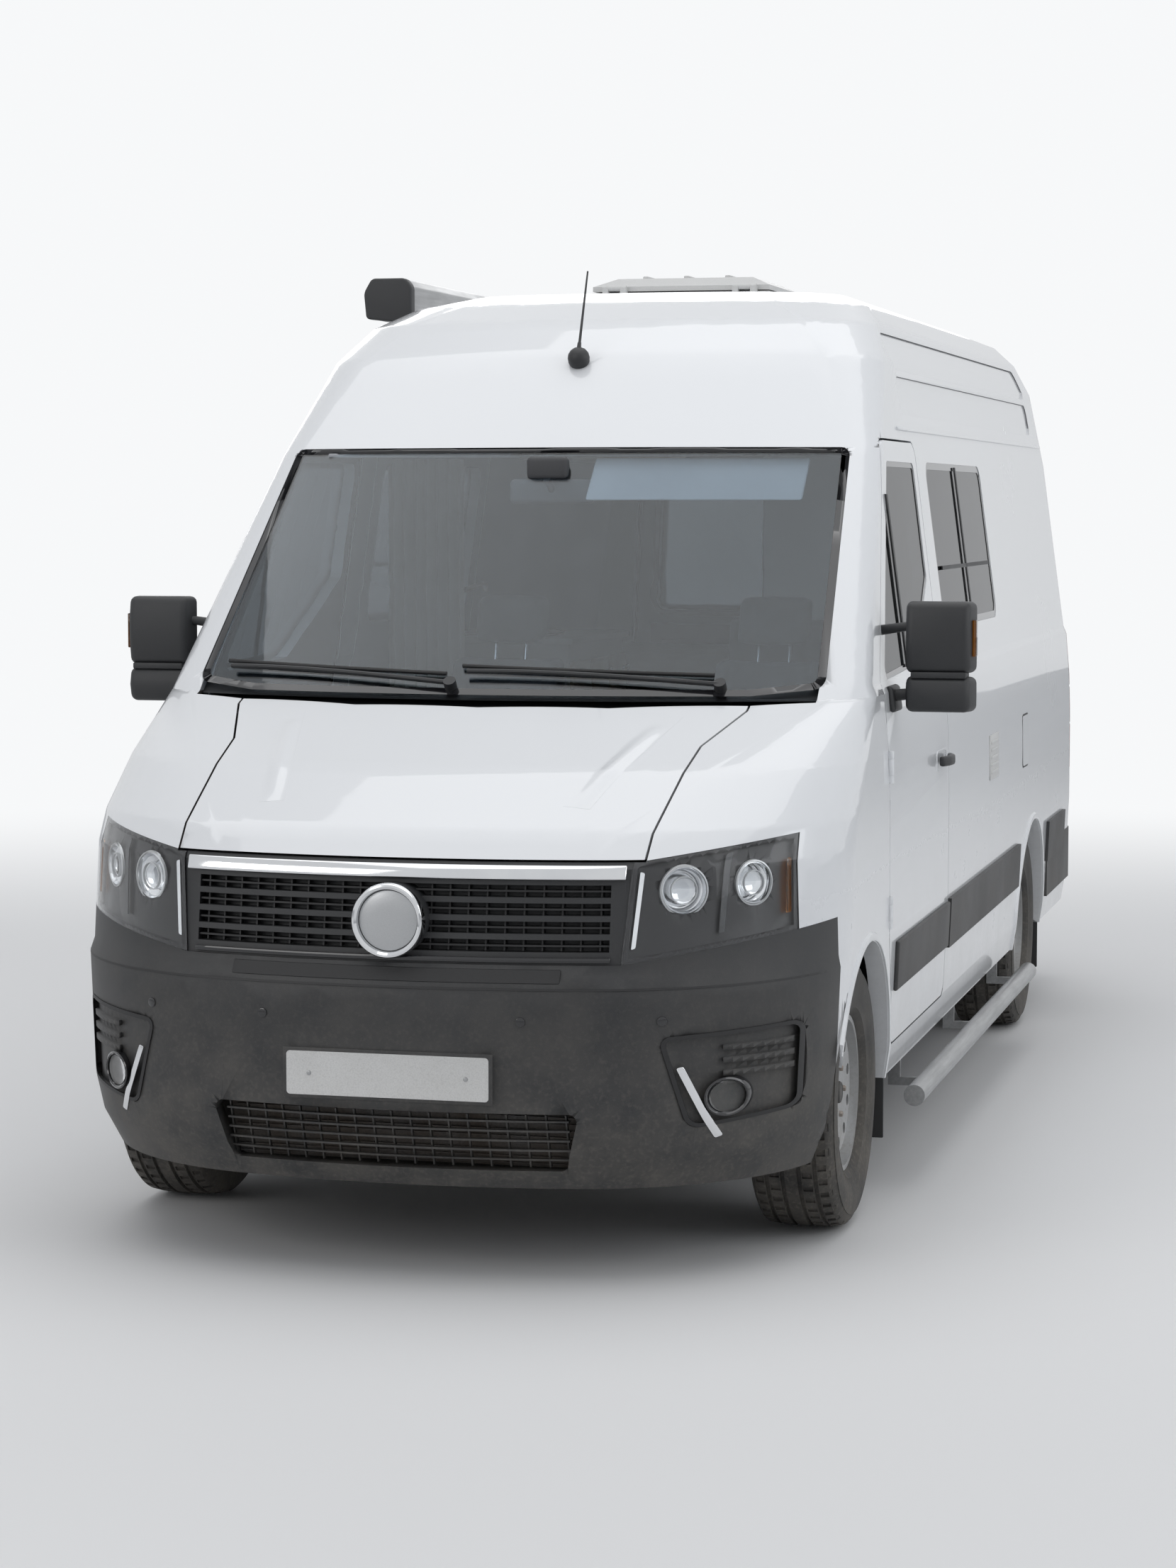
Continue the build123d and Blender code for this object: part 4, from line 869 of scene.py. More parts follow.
def add_bonnet_creases():
    """Two soft pressed creases that run back over the bonnet."""
    start, end, half = 0.30, 0.82, 0.034
    crease = block((-half, start, -0.001), (half, end, 0.0), y=0.02, x=0.005)

    def pressed(across, along, layer):
        share = (along - start) / (end - start)
        fade = math.sin(math.pi * min(1.0, share * 1.15)) ** 0.6
        rise = 0.0055 * math.cos(math.pi / 2 * across / half) ** 2 * fade
        x, y = 0.40 + 0.12 * share + across, behind(along)
        return x, y, top_z(x, y) + (rise if layer > -0.0005 else -0.002)
    both_sides(right_way_out(reshape(crease, pressed)), "bonnet_crease", WHITE_PAINT, "bonnet", 60.0)


# Front: grille, badge blank, bumper trims, plate, lamps

def add_grille_trim():
    """Bright strip under the bonnet's edge, mesh behind the slats, and the plain disc with its bright ring."""
    strip = block((-0.566, -0.006, 1.006), (0.566, 0.004, 1.040), 0.003, 3, x=0.06)
    ready(on_front(strip), "grille_bright_strip", CHROME)
    strip = block((-0.535, -0.002, 0.806), (0.535, 0.006, 0.818), 0.002, x=0.06)
    ready(on_front(strip), "grille_lower_strip", GLOSS_BLACK)
    places = [0.046 * step for step in range(-11, 12) if abs(step) > 1]
    mesh = [block((x - 0.002, 0.020, 0.832), (x + 0.002, 0.040, 0.990)) for x in places]
    mesh += [block((-0.529, 0.014, z - 0.0022), (0.529, 0.040, z + 0.0022), x=0.09)
             for z in (0.845, 0.889, 0.933, 0.977)]
    ready([on_front(piece) for piece in mesh], "grille_mesh", SEAL_RUBBER)
    for part, profile, material in (
            ("ring", [(0.020, 0.092), (0.004, 0.092), (-0.001, 0.089), (-0.002, 0.084), (0.002, 0.078),
                      (0.010, 0.0755), (0.020, 0.0755)], CHROME),
            ("disc", [(0.0185, 0.0755), (0.0125, 0.074), (0.0085, 0.060), (0.0062, 0.035), (0.0056, 0.0)],
             WHEEL_SILVER)):
        ready(revolve(profile, spot(0.0, 0.0, 0.905), ALONG_Y, 72), "badge_blank_" + part, material)


def add_bumper_trim():
    """Slanted bright trims, rims of the recesses, fog lamps, lower mesh, parting line, step pad, sensors, plate."""
    trim = board([(0.690, 0.548), (0.706, 0.552), (0.788, 0.372), (0.770, 0.366)], 0.005, 0.007, edge=0.0015, z=0.03)
    both_sides(on_front(trim), "bumper_slanted_trim", CHROME)
    pocket = board([(0.715, 0.395), (0.945, 0.420), (0.955, 0.640), (0.650, 0.625)], 0.03, 0.006, ring=0.010,
                   x=0.03, z=0.04)
    both_sides(on_front(pocket), "bumper_corner_pocket", SEAL_RUBBER)
    for part, profile, material in (
            ("lamp", [(0.016, 0.040), (-0.006, 0.038), (-0.010, 0.030), (-0.011, 0.0)], LENS),
            ("bezel", [(0.016, 0.050), (-0.010, 0.048), (-0.013, 0.044), (-0.008, 0.040), (0.016, 0.040)],
             GLOSS_BLACK)):
        both_sides(on_front(revolve(profile, (0.80, 0.0, 0.470), ALONG_Y, 40)), "bumper_fog_" + part, material)
    mesh = [block((-0.44, 0.022, z), (0.44, 0.040, z + 0.005), x=0.09) for z in (0.315, 0.340, 0.365, 0.390, 0.415)]
    mesh += [block((0.048 * step - 0.002, 0.024, 0.296), (0.048 * step + 0.002, 0.036, 0.434))
             for step in range(-9, 10)]
    ready([on_front(piece) for piece in mesh], "lower_intake_mesh", BLACK_PLASTIC)
    groove = block((-0.99, -0.0012, 0.742), (0.99, 0.0006, 0.747), x=0.03)
    ready(on_front(groove), "bumper_parting_line", SEAL_RUBBER)
    tread = block((-0.42, -0.004, 0.758), (0.42, 0.002, 0.790), 0.003, x=0.05)
    ready(on_front(tread), "bumper_step_pad", SEAL_RUBBER)
    eye = [(0.004, 0.012), (-0.0025, 0.0115), (-0.0035, 0.009), (-0.003, 0.0)]
    eyes = [on_front(revolve(eye, (x, 0.0, 0.665), ALONG_Y, 24)) for x in (-0.66, -0.33, 0.33, 0.66)]
    ready(eyes, "parking_sensors", GLOSS_BLACK)
    add_plate("front_plate", behind(0.0), -1.0, 0.525)


def add_plate(name, y, way, z):
    """Blank number plate in a dark holder, with two plain screws."""
    holder = block((-0.268, 0, z - 0.063), (0.268, 0.004, z + 0.063), 0.002)
    plate = move(board(rectangle(-0.258, z - 0.054, 0.258, z + 0.054), 0.009, 0.0016), y=0.0008)
    press(plate, lambda centre, normal: abs(normal.y) > 0.9 and abs(centre.x) < 0.1, (0.004, 0.0), (0.002, -0.0006))
    head = [(0.0, 0.006), (-0.0018, 0.0055), (-0.0026, 0.003), (-0.0027, 0.0)]
    screws = join([revolve(head, (x, 0.0, z), ALONG_Y, 20) for x in (-0.20, 0.20)])
    for part, piece, away, material in (("holder", holder, 0.0, BLACK_PLASTIC), ("blank", plate, 0.0040, PLATE_FACE),
                                        ("screws", screws, 0.0050, ALUMINIUM)):
        reshape(piece, lambda a, b, c: (a, y + way * (abs(b) + away), c))
        ready(right_way_out(piece), name + "_" + part, material)


def add_headlamps():
    """Two reflector bowls with their projectors and rims, the divider, the amber corner and the bright inner edge."""
    bowls, eyes, rims = [], [], []
    for x, z, r in ((0.700, 0.975, 0.058), (0.850, 0.985, 0.052)):
        out = front_out(x, z)
        skin = Vector((x, front_y(x, z), z))
        mouth = skin - out * 0.012
        bowl = revolve([(0.0, r - 0.001), (0.012, r * 0.9), (0.022, r * 0.62), (0.028, r * 0.25), (0.029, 0.0)],
                       mouth, -out, 40, closed=False)
        bowls.append(right_way_out(thicken(bowl, 0.0012)))
        eyes.append(revolve([(0.026, r * 0.56), (0.010, r * 0.56), (0.003, r * 0.46), (-0.001, r * 0.25),
                             (-0.002, 0.0)], mouth, -out, 32))
        rims.append(revolve([(0.006, r * 0.62), (-0.001, r * 0.61), (-0.001, r * 0.57), (0.006, r * 0.56)],
                            mouth, -out, 32))
        rims.append(revolve([(0.004, r + 0.006), (-0.002, r + 0.005), (-0.003, r + 0.001), (0.002, r - 0.001)],
                            skin - out * 0.013, -out, 40))
    both_sides(bowls, "headlamp_bowls", CHROME)
    both_sides(eyes, "headlamp_projectors", LENS)
    both_sides(rims, "headlamp_rims", WHEEL_SILVER)
    for part, points, material, slot in (
            ("bright_edge", [(0.580, 0.836), (0.590, 0.840), (0.606, 1.020), (0.596, 1.024)], CHROME, "usual"),
            ("divider", [(0.772, 0.868), (0.784, 0.872), (0.794, 1.062), (0.780, 1.058)], DARK_ALUMINIUM,
             "black_plastic"),
            ("amber", [(0.908, 0.905), (0.918, 0.905), (0.914, 1.040), (0.906, 1.040)], AMBER_LENS, "usual")):
        strip = move(board(points, 0.003, 0.006, z=0.03), y=0.0105)
        both_sides(on_front(strip), "headlamp_" + part, material, slot=slot)


# Windscreen: dark border, wipers, mirror, sensor box and visors

def add_windscreen_trim():
    border = border_of("windscreen", lambda centre, normal: normal.y < -0.2 and normal.z > 0.1
                       and centre.y < front_y(centre.x, centre.z) + 0.0085, 0.024)
    ready(border, "windscreen_border", GLOSS_BLACK)

    def before_glass(x, z, away):
        return x, front_y(x, z) - away, z
    arms, blades = [], []
    reach = -0.68
    for root in (0.62, -0.10):
        shares = [step / 8 for step in range(9)]
        arms += bars([before_glass(root + reach * share, 1.440 + 0.030 * math.sin(share * math.pi * 0.55), 0.022)
                      for share in shares], 0.007, 8)
        shares = [step / 16 for step in range(17)]
        blades += bars([before_glass(root - 0.02 + reach * share, 1.462 + 0.02 * share, 0.009)
                        for share in shares], 0.006, 8)
        base = Vector((root, front_y(root, 1.44) - 0.018, 1.432))
        arms.append(bar(base + Vector((0, 0.02, -0.02)), base + Vector((0, -0.008, 0.014)), 0.017, 20))
    ready(arms, "wiper_arms", BLACK_PLASTIC)
    ready(blades, "wiper_blades", SEAL_RUBBER)


def add_cabin_glass_fittings():
    """Rear-view mirror with its stalk, sensor box and two sun visors behind the windscreen."""
    glass_y = front_y(0, 1.98)
    mirror = [bar((0, glass_y + 0.02, 1.985), (0, glass_y + 0.075, 1.955), 0.010),
              block((-0.125, glass_y + 0.070, 1.915), (0.125, glass_y + 0.100, 1.985), 0.016, 4),
              block((-0.06, glass_y + 0.012, 1.985), (0.06, glass_y + 0.055, 2.05), 0.014, 3)]
    ready(mirror, "rear_view_mirror", DASH_PLASTIC)
    face = board(rectangle(-0.115, 1.923, 0.115, 1.977), 0.014, 0.002)
    ready(move(face, y=glass_y + 0.1012), "rear_view_mirror_glass", CHROME)
    visor = block((0.115, 0.0, 1.925), (0.715, 0.016, 2.045), 0.007, 3, x=0.05)
    ready(on_front(move(visor, y=0.060)), "sun_visor_left", VISOR_VINYL)
    ready(van_block((-0.715, 1.700, 2.050), (-0.155, 1.830, 2.064), 0.006, 3), "sun_visor_right", VISOR_VINYL)


# Cab doors and mirrors

def door_handle(middle):
    """Bowed handle round this distance behind the nose, not yet laid against the side."""
    handle = van_block((0.022, middle - 0.085, 1.135), (0.040, middle + 0.085, 1.165), y=0.05)
    reshape(handle, lambda x, y, z: (x - 0.018 * ((y - behind(middle)) / 0.085) ** 2, y, z))
    return soften(handle, 0.007, 3)


def side_strip(start, end):
    """Rub strip of a side door, not yet laid against the side."""
    return van_block((-0.002, start, 0.566), (0.012, end, 0.706), 0.006, 3, y=0.2)


def add_door_trim():
    """Window seals and dividers, handles with their dishes, and rub strips on the cab doors."""
    both_sides(border_of("cab_door_glass_left", facing(X, 1, 0.7), 0.016, 0.002), "cab_window_border", GLOSS_BLACK,
               CAB_DOOR)
    divider = van_block((0.0, 1.800, 1.452), (0.0055, 1.822, 1.945))
    both_sides(on_side(divider), "cab_window_divider", BLACK_PLASTIC, CAB_DOOR)
    both_sides(on_side(door_handle(2.31)), "cab_door_handle", BLACK_PLASTIC, CAB_DOOR)
    dish = board(rectangle(2.215, 1.120, 2.405, 1.180), 0.02, 0.003, "yz", 0.006)
    both_sides(on_side(dish), "cab_door_handle_dish", WHITE_PAINT, CAB_DOOR)
    both_sides(on_side(side_strip(1.455, 2.445)), "cab_door_rub_strip", BLACK_PLASTIC, CAB_DOOR)


def add_mirrors():
    """Two-part door mirrors: shell, arms, main glass, spot glass below and a turn lamp."""
    shells = []
    for bottom, top in ((1.347, 1.444), (1.454, 1.650)):
        shell = van_block((1.038, 1.390, bottom), (1.238, 1.482, top), z=0.05)
        for vertex in shell.data.vertices:
            level = (vertex.co.z - (bottom + top) / 2) / ((top - bottom) / 2)
            if vertex.co.y < behind(1.44):
                vertex.co.y += 0.014 * level * level
                vertex.co.x += 0.012 if vertex.co.x < 1.1 else -0.016
        soften(shell, 0.018, 4)
        shells.append(press(shell, lambda centre, normal: normal.y > 0.9 and centre.y > behind(1.48), (0.008, 0.0),
                            shift=(0, -0.010, 0)))
    shells.append(van_block((1.062, 1.400, 1.440), (1.214, 1.472, 1.458), 0.004))
    both_sides(shells, "mirror_shell", BLACK_PLASTIC, CAB_DOOR)
    arms = [van_bar((0.985, 1.442, 1.388), (1.066, 1.436, 1.397), 0.0175, 20, 0.015),
            van_bar((0.955, 1.475, 1.567), (1.066, 1.442, 1.584), 0.0145, 20, 0.012),
            on_side(van_block((-0.002, 1.40, 1.345), (0.016, 1.53, 1.418), 0.010, 3))]
    for piece, (_, side) in zip(both_sides(arms, "mirror_arms", BLACK_PLASTIC, CAB_DOOR), SIDES):
        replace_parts(piece, "mirror_" + side)
    for name, low, high in (("mirror_glass", 1.464, 1.640), ("mirror_spot_glass", 1.357, 1.434)):
        pane = board(rectangle(1.052, low, 1.224, high), 0.016, 0.003)
        both_sides(move(pane, y=behind(1.4735)), name, CHROME, CAB_DOOR)
    lamp = van_block((1.228, 1.425, 1.50), (1.2385, 1.455, 1.60), 0.003)
    both_sides(lamp, "mirror_turn_lamp", AMBER_LENS, CAB_DOOR)


# Wheels: tyres with tread, bolts, centre caps and valves

TYRE_PROFILE = (  # distance from the tyre's middle plane, radius: inner bead round to outer bead
    (-0.080, 0.2035), (-0.094, 0.210), (-0.104, 0.226), (-0.112, 0.250), (-0.117, 0.280), (-0.1165, 0.300),
    (-0.111, 0.326), (-0.104, 0.341), (-0.096, 0.349), (-0.070, 0.3535), (-0.068, 0.3465), (-0.060, 0.3465),
    (-0.058, 0.3548), (-0.028, 0.3558), (-0.026, 0.3478), (-0.018, 0.3478), (-0.016, 0.3560), (0.016, 0.3560),
    (0.018, 0.3478), (0.026, 0.3478), (0.028, 0.3558), (0.058, 0.3548), (0.060, 0.3465), (0.068, 0.3465),
    (0.070, 0.3535), (0.096, 0.349), (0.104, 0.341), (0.111, 0.326), (0.113, 0.3215), (0.1155, 0.3215),
    (0.1165, 0.300), (0.117, 0.280), (0.112, 0.250), (0.106, 0.230), (0.1075, 0.2265), (0.104, 0.2225),
    (0.094, 0.210), (0.080, 0.2035))
TREAD_STEPS = 96
STEP_BASE = 200


def on_wheels(piece, name, material, stands_for=None):
    """Sets copies of a piece drawn at the origin on all wheels, with its outer face outwards."""
    for end, axle in (("_front", FRONT_AXLE), ("_rear", REAR_AXLE)):
        for sign, side in SIDES:
            where = end + "_" + side
            twin = move(copy_of(piece, sign < 0), sign * WHEEL_X, behind(axle), WHEEL_RADIUS)
            ready(twin, name + where, material, "wheel" + where, 40.0)
            if stands_for:
                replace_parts(twin, stands_for + where)
    bpy.data.objects.remove(piece)


def tread_step(centre):
    """Where a place lies round the tyre, in steps of the tread; the base keeps it above zero."""
    return math.atan2(centre.z, centre.y) / (2 * math.pi) * TREAD_STEPS + STEP_BASE


def add_tyres():
    """Tyres with cut tread lugs and marks on their shoulders."""
    tyre = revolve(TYRE_PROFILE, (0, 0, 0), ALONG_X, TREAD_STEPS)

    def lug_gap(centre, normal):
        band = 0 if abs(centre.x) > 0.069 else 1
        return (math.hypot(centre.y, centre.z) > 0.3500 and 0.030 < abs(centre.x) < 0.098
                and int(tread_step(centre) + band) % 2 == 0 and abs(normal.x) < 0.45)

    def shoulder(centre, normal):
        return (0.341 < math.hypot(centre.y, centre.z) < 0.349 and abs(centre.x) > 0.0965
                and int(tread_step(centre)) % 3 == 0)
    edit_faces(tyre, lug_gap)
    bpy.ops.mesh.inset(thickness=0.0022, use_individual=True)
    bpy.ops.mesh.extrude_region_shrink_fatten(TRANSFORM_OT_shrink_fatten={"value": -0.0055})
    leave_edit()
    edit_faces(tyre, shoulder)
    bpy.ops.mesh.inset(thickness=0.002, use_individual=True)
    bpy.ops.transform.shrink_fatten(value=-0.002)
    leave_edit()
    on_wheels(tyre, "road_tyre", RUBBER, "tyre")


def add_wheel_parts():
    """Five bolts, a plain centre cap, a valve and a balance weight on each wheel."""
    bolt = [(0.058, 0.0105), (0.060, 0.0125), (0.0635, 0.0125), (0.0655, 0.0105), (0.066, 0.0092),
            (0.076, 0.0086), (0.0785, 0.0065), (0.0775, 0.0)]
    turns = [2 * math.pi * index / 5 for index in range(5)]
    bolts = [revolve(bolt, (0, 0.065 * math.cos(turn), 0.065 * math.sin(turn)), ALONG_X, 6) for turn in turns]
    on_wheels(join(bolts), "wheel_bolts", BARE_STEEL)
    cap = [(0.068, 0.0295), (0.073, 0.0290), (0.077, 0.0265), (0.078, 0.0235), (0.0765, 0.0215), (0.0775, 0.0125),
           (0.0785, 0.0)]
    on_wheels(revolve(cap, (0, 0, 0), ALONG_X, 40), "wheel_cap", BLACK_PLASTIC)
    on_wheels(bar((0.050, 0.0, 0.176), (0.082, 0.0, 0.168), 0.0045, 14, 0.0038), "tyre_valve", SEAL_RUBBER)
    on_wheels(block((0.0795, -0.024, 0.1965), (0.0885, 0.024, 0.2015), 0.0015), "balance_weight", BARE_STEEL)


# Sides: window borders, sliding door fittings, fuel flap, vent, arch edges, mud flaps, roof seam

def add_side_trim():
    for (sign, side), middle in zip(SIDES, (3.265, 3.2755)):
        border = border_of("side_windows", lambda centre, normal: sign * normal.x > 0.7 and sign * centre.x > 0,
                           0.022, 0.002)
        ready(border, "living_window_border_" + side, GLOSS_BLACK)
        for part, low, high in (("bar", (0.0, middle - 0.011, 1.540), (0.0045, middle + 0.011, 2.035)),
                                ("vent_rail", (0.0, middle - 0.54, 1.712), (0.0045, middle + 0.54, 1.724))):
            ready(on_side(van_block(low, high), sign), "living_window_" + part + "_" + side, BLACK_PLASTIC)
    ready(on_side(door_handle(2.785), -1), "sliding_door_handle", BLACK_PLASTIC)
    track = van_block((0.0, 3.955, 1.222), (0.014, 5.60, 1.262), 0.005, 3, y=0.3)
    press(track, facing(X), (0.012, 0.0), shift=(-0.009, 0, 0))
    ready(on_side(track, -1), "sliding_door_track", WHITE_PAINT)
    ready(on_side(side_strip(2.636, 3.914), -1), "sliding_door_rub_strip", BLACK_PLASTIC)
    flap = board(rectangle(4.30, 0.98, 4.46, 1.16), 0.02, 0.004, "yz")
    ready(on_side(flap), "fuel_flap", WHITE_PAINT)
    gap = board(rectangle(4.294, 0.974, 4.466, 1.166), 0.024, 0.0012, "yz", 0.006)
    ready(on_side(gap), "fuel_flap_gap", SEAL_RUBBER)
    vent = [van_block((0.0, 3.42, z), (0.006, 3.60, z + 0.010), 0.002) for z in (1.02, 1.045, 1.07, 1.095, 1.12)]
    vent.append(van_block((0.0, 3.40, 1.0), (0.0035, 3.62, 1.15), 0.003))
    ready([on_side(piece) for piece in vent], "fridge_vent", PALE_PLASTIC)
    add_arch_lips()
    flaps = [van_block((0.760, start, 0.150), (0.985, start + 0.008, top), 0.003)
             for start, top in ((1.462, 0.440), (5.098, 0.560))]
    both_sides(flaps, "mud_flaps", SEAL_RUBBER)


def signed_volume(piece):
    """Volume of a closed piece, below zero when its faces look inwards."""
    piece.data.calc_loop_triangles()
    points = piece.data.vertices
    corners = [[points[index].co for index in triangle.vertices] for triangle in piece.data.loop_triangles]
    return sum(a.dot(b.cross(c)) for a, b, c in corners) / 6


def add_arch_lips():
    """Rolled edges of the wheel arches, open below, and at the front where the bumper begins.

    Blender can turn these arcs inside out when it sorts their faces, so their volume is looked at too."""
    for sign, side in SIDES:
        lips = []
        for axle in (FRONT_AXLE, REAR_AXLE):
            lip = revolve([(0.0, 0.4065), (0.007, 0.4065), (0.009, 0.412), (0.008, 0.424), (0.0, 0.430)],
                          spot(0, axle, WHEEL_RADIUS), ALONG_X, 96)
            drop_faces(lip, lambda centre, normal: centre.z < 0.33)
            if axle == FRONT_AXLE:
                drop_faces(lip, lambda centre, normal: centre.y < behind(0.615) and centre.z < 0.8)
            edit_all(lip)
            bpy.ops.mesh.fill_holes(sides=0)
            leave_edit()
            reshape(lip, lambda x, y, z: (sign * (side_x(z) + x - 0.001), y, z))
            right_way_out(lip)
            if signed_volume(lip) < 0:
                lip.data.flip_normals()
            lips.append(lip)
        ready(lips, "arch_lips_" + side, WHITE_PAINT)


def add_roof_seam():
    """Bead along the seam between each side and the high roof."""
    bead = van_block((-0.004, 2.20, 2.136), (0.006, 5.78, 2.146), 0.002, y=0.3)
    both_sides(on_side(bead), "roof_seam_bead", WHITE_PAINT)


# Roof: hatch dome, awning case, aerial

def add_roof_fittings():
    """Domed pane and ribs of the hatch, ends, seams and lead rail of the awning, and the aerial."""
    low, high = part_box("hatch_lid")
    mid_x, mid_y = (low.x + high.x) / 2, (low.y + high.y) / 2
    dome = block((low.x + 0.02, low.y + 0.06, ROOF_Z + 0.050), (high.x - 0.02, high.y - 0.02, ROOF_Z + 0.068),
                 x=0.1, y=0.1)

    def domed(x, y, z):
        if z <= ROOF_Z + 0.06:
            return x, y, z
        share = max(abs(x - mid_x) / 0.28, abs(y - mid_y) / 0.29)
        return mid_x + (x - mid_x) * 0.86, mid_y + (y - mid_y) * 0.86, z + 0.016 * (1 - min(1.0, share) ** 3)
    ready(soften(reshape(dome, domed), 0.010, 3), "hatch_dome", PALE_PLASTIC, "hatch_lid")
    ribs = [block((x - 0.010, mid_y - 0.22, ROOF_Z + 0.066), (x + 0.010, mid_y + 0.22, ROOF_Z + 0.086), 0.004)
            for x in (-0.14, 0.0, 0.14)]
    ready(ribs, "hatch_dome_ribs", PALE_PLASTIC, "hatch_lid")
    case = [(-0.797, 2.502), (-0.951, 2.517), (-0.959, 2.602), (-0.932, 2.648), (-0.818, 2.648), (-0.797, 2.622)]
    caps = [move(board(case, 0.012, 0.046, edge=0.006, segments=3), y=behind(middle)) for middle in (2.823, 5.557)]
    ready(caps, "awning_end_caps", BLACK_PLASTIC)
    seams = [van_block((x - 0.0015, 2.85, z), (x + 0.002, 5.53, z + 0.005))
             for x, z in ((-0.9555, 2.560), (-0.9585, 2.592))]
    ready(seams, "awning_front_seams", DARK_ALUMINIUM)
    ready(van_block((-0.949, 2.86, 2.5185), (-0.82, 5.52, 2.526), 0.003), "awning_lead_rail", DARK_ALUMINIUM)
    foot = [(-0.020, 0.020), (0.000, 0.022), (0.006, 0.027), (0.016, 0.0315), (0.028, 0.0325), (0.040, 0.030),
            (0.051, 0.022), (0.057, 0.012), (0.059, 0.0)]
    aerial = [revolve(foot, spot(0.0, 1.892, 2.318), (0, -0.35, 0.94), 32),
              van_bar((0.0, 1.880, 2.360), (0.0, 1.990, 2.602), 0.0045, 12, 0.0026),
              van_bar((0.0, 1.878, 2.356), (0.0, 1.892, 2.388), 0.0075, 16, 0.0055)]
    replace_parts(ready(aerial, "roof_aerial", BLACK_PLASTIC), "aerial")


# Tail: window borders, lamps with three chambers, handle, pressings, high stop lamp, step, plate

def add_tail_trim():
    both_sides(border_of("rear_door_glass_left", facing(Y, 1, 0.7), 0.020, 0.002), "rear_window_border", GLOSS_BLACK,
               REAR_DOOR)
    for sign, side in SIDES:
        lens = cad_copy("tail_lamps")
        drop_faces(lens, lambda centre, normal: centre.x * sign < 0)
        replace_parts(ready(soften(lens, 0.004), "tail_lamp_body_" + side, RED_LENS), "tail_lamps")

    def round_corner(x, y, z):
        corner = max(0.0, x - (side_x(z) - 0.095))
        return x, y + tail_y(z) + 0.0025 - (0.095 - math.sqrt(max(0.0, 0.095 ** 2 - corner ** 2))), z
    for part, low, high, material, slot in (("amber", 0.885, 1.030, AMBER_LENS, "red_lens"),
                                            ("white", 1.050, 1.180, LENS, "usual"),
                                            ("red", 1.200, 1.395, RED_LENS, "usual")):
        window = board(rectangle(0.852, low, 0.962, high), 0.016, 0.004, x=0.02)
        both_sides(reshape(window, round_corner), "tail_lamp_" + part, material, slot=slot)
        mirror = block((0.860, -0.022, low + 0.010), (0.950, -0.017, high - 0.010), 0.004)
        both_sides(on_tail(mirror), "tail_lamp_reflector_" + part, CHROME)
    handle = block((0.020, 0.006, 1.165), (0.150, 0.032, 1.205), 0.010, 3)
    ready(on_tail(handle), "rear_door_handle", BLACK_PLASTIC, REAR_DOOR)
    strip = block((0.010, -0.003, 0.668), (0.745, 0.007, 0.742), 0.003, x=0.2)
    both_sides(on_tail(strip), "rear_door_rub_strip", BLACK_PLASTIC, REAR_DOOR)
    pressing = board(rectangle(0.075, 0.78, 0.770, 1.40), 0.04, 0.004, ring=0.010, edge=0.0018)
    both_sides(right_way_out(on_tail(pressing)), "rear_door_pressing", WHITE_PAINT, REAR_DOOR)
    ready(on_tail(block((-0.16, -0.004, 2.425), (0.16, 0.010, 2.455), 0.005)), "high_stop_lamp", RED_LENS)
    starts = [5.953 + 0.0058 * row + 0.001 * layer for row in range(5) for layer in range(2)]
    ridges = [van_block((-0.44, start, 0.6395), (0.44, start + 0.003, 0.6425)) for start in starts]
    ready(ridges, "rear_step_ridges", SEAL_RUBBER)
    add_plate("rear_plate", behind(5.9865), 1.0, 0.500)
    lamps = [van_block((x - 0.03, 5.980, 0.572), (x + 0.03, 5.992, 0.586), 0.004) for x in (-0.12, 0.12)]
    ready(lamps, "plate_lamps", LENS)


# Cab: seats, dashboard, steering wheel, curtains

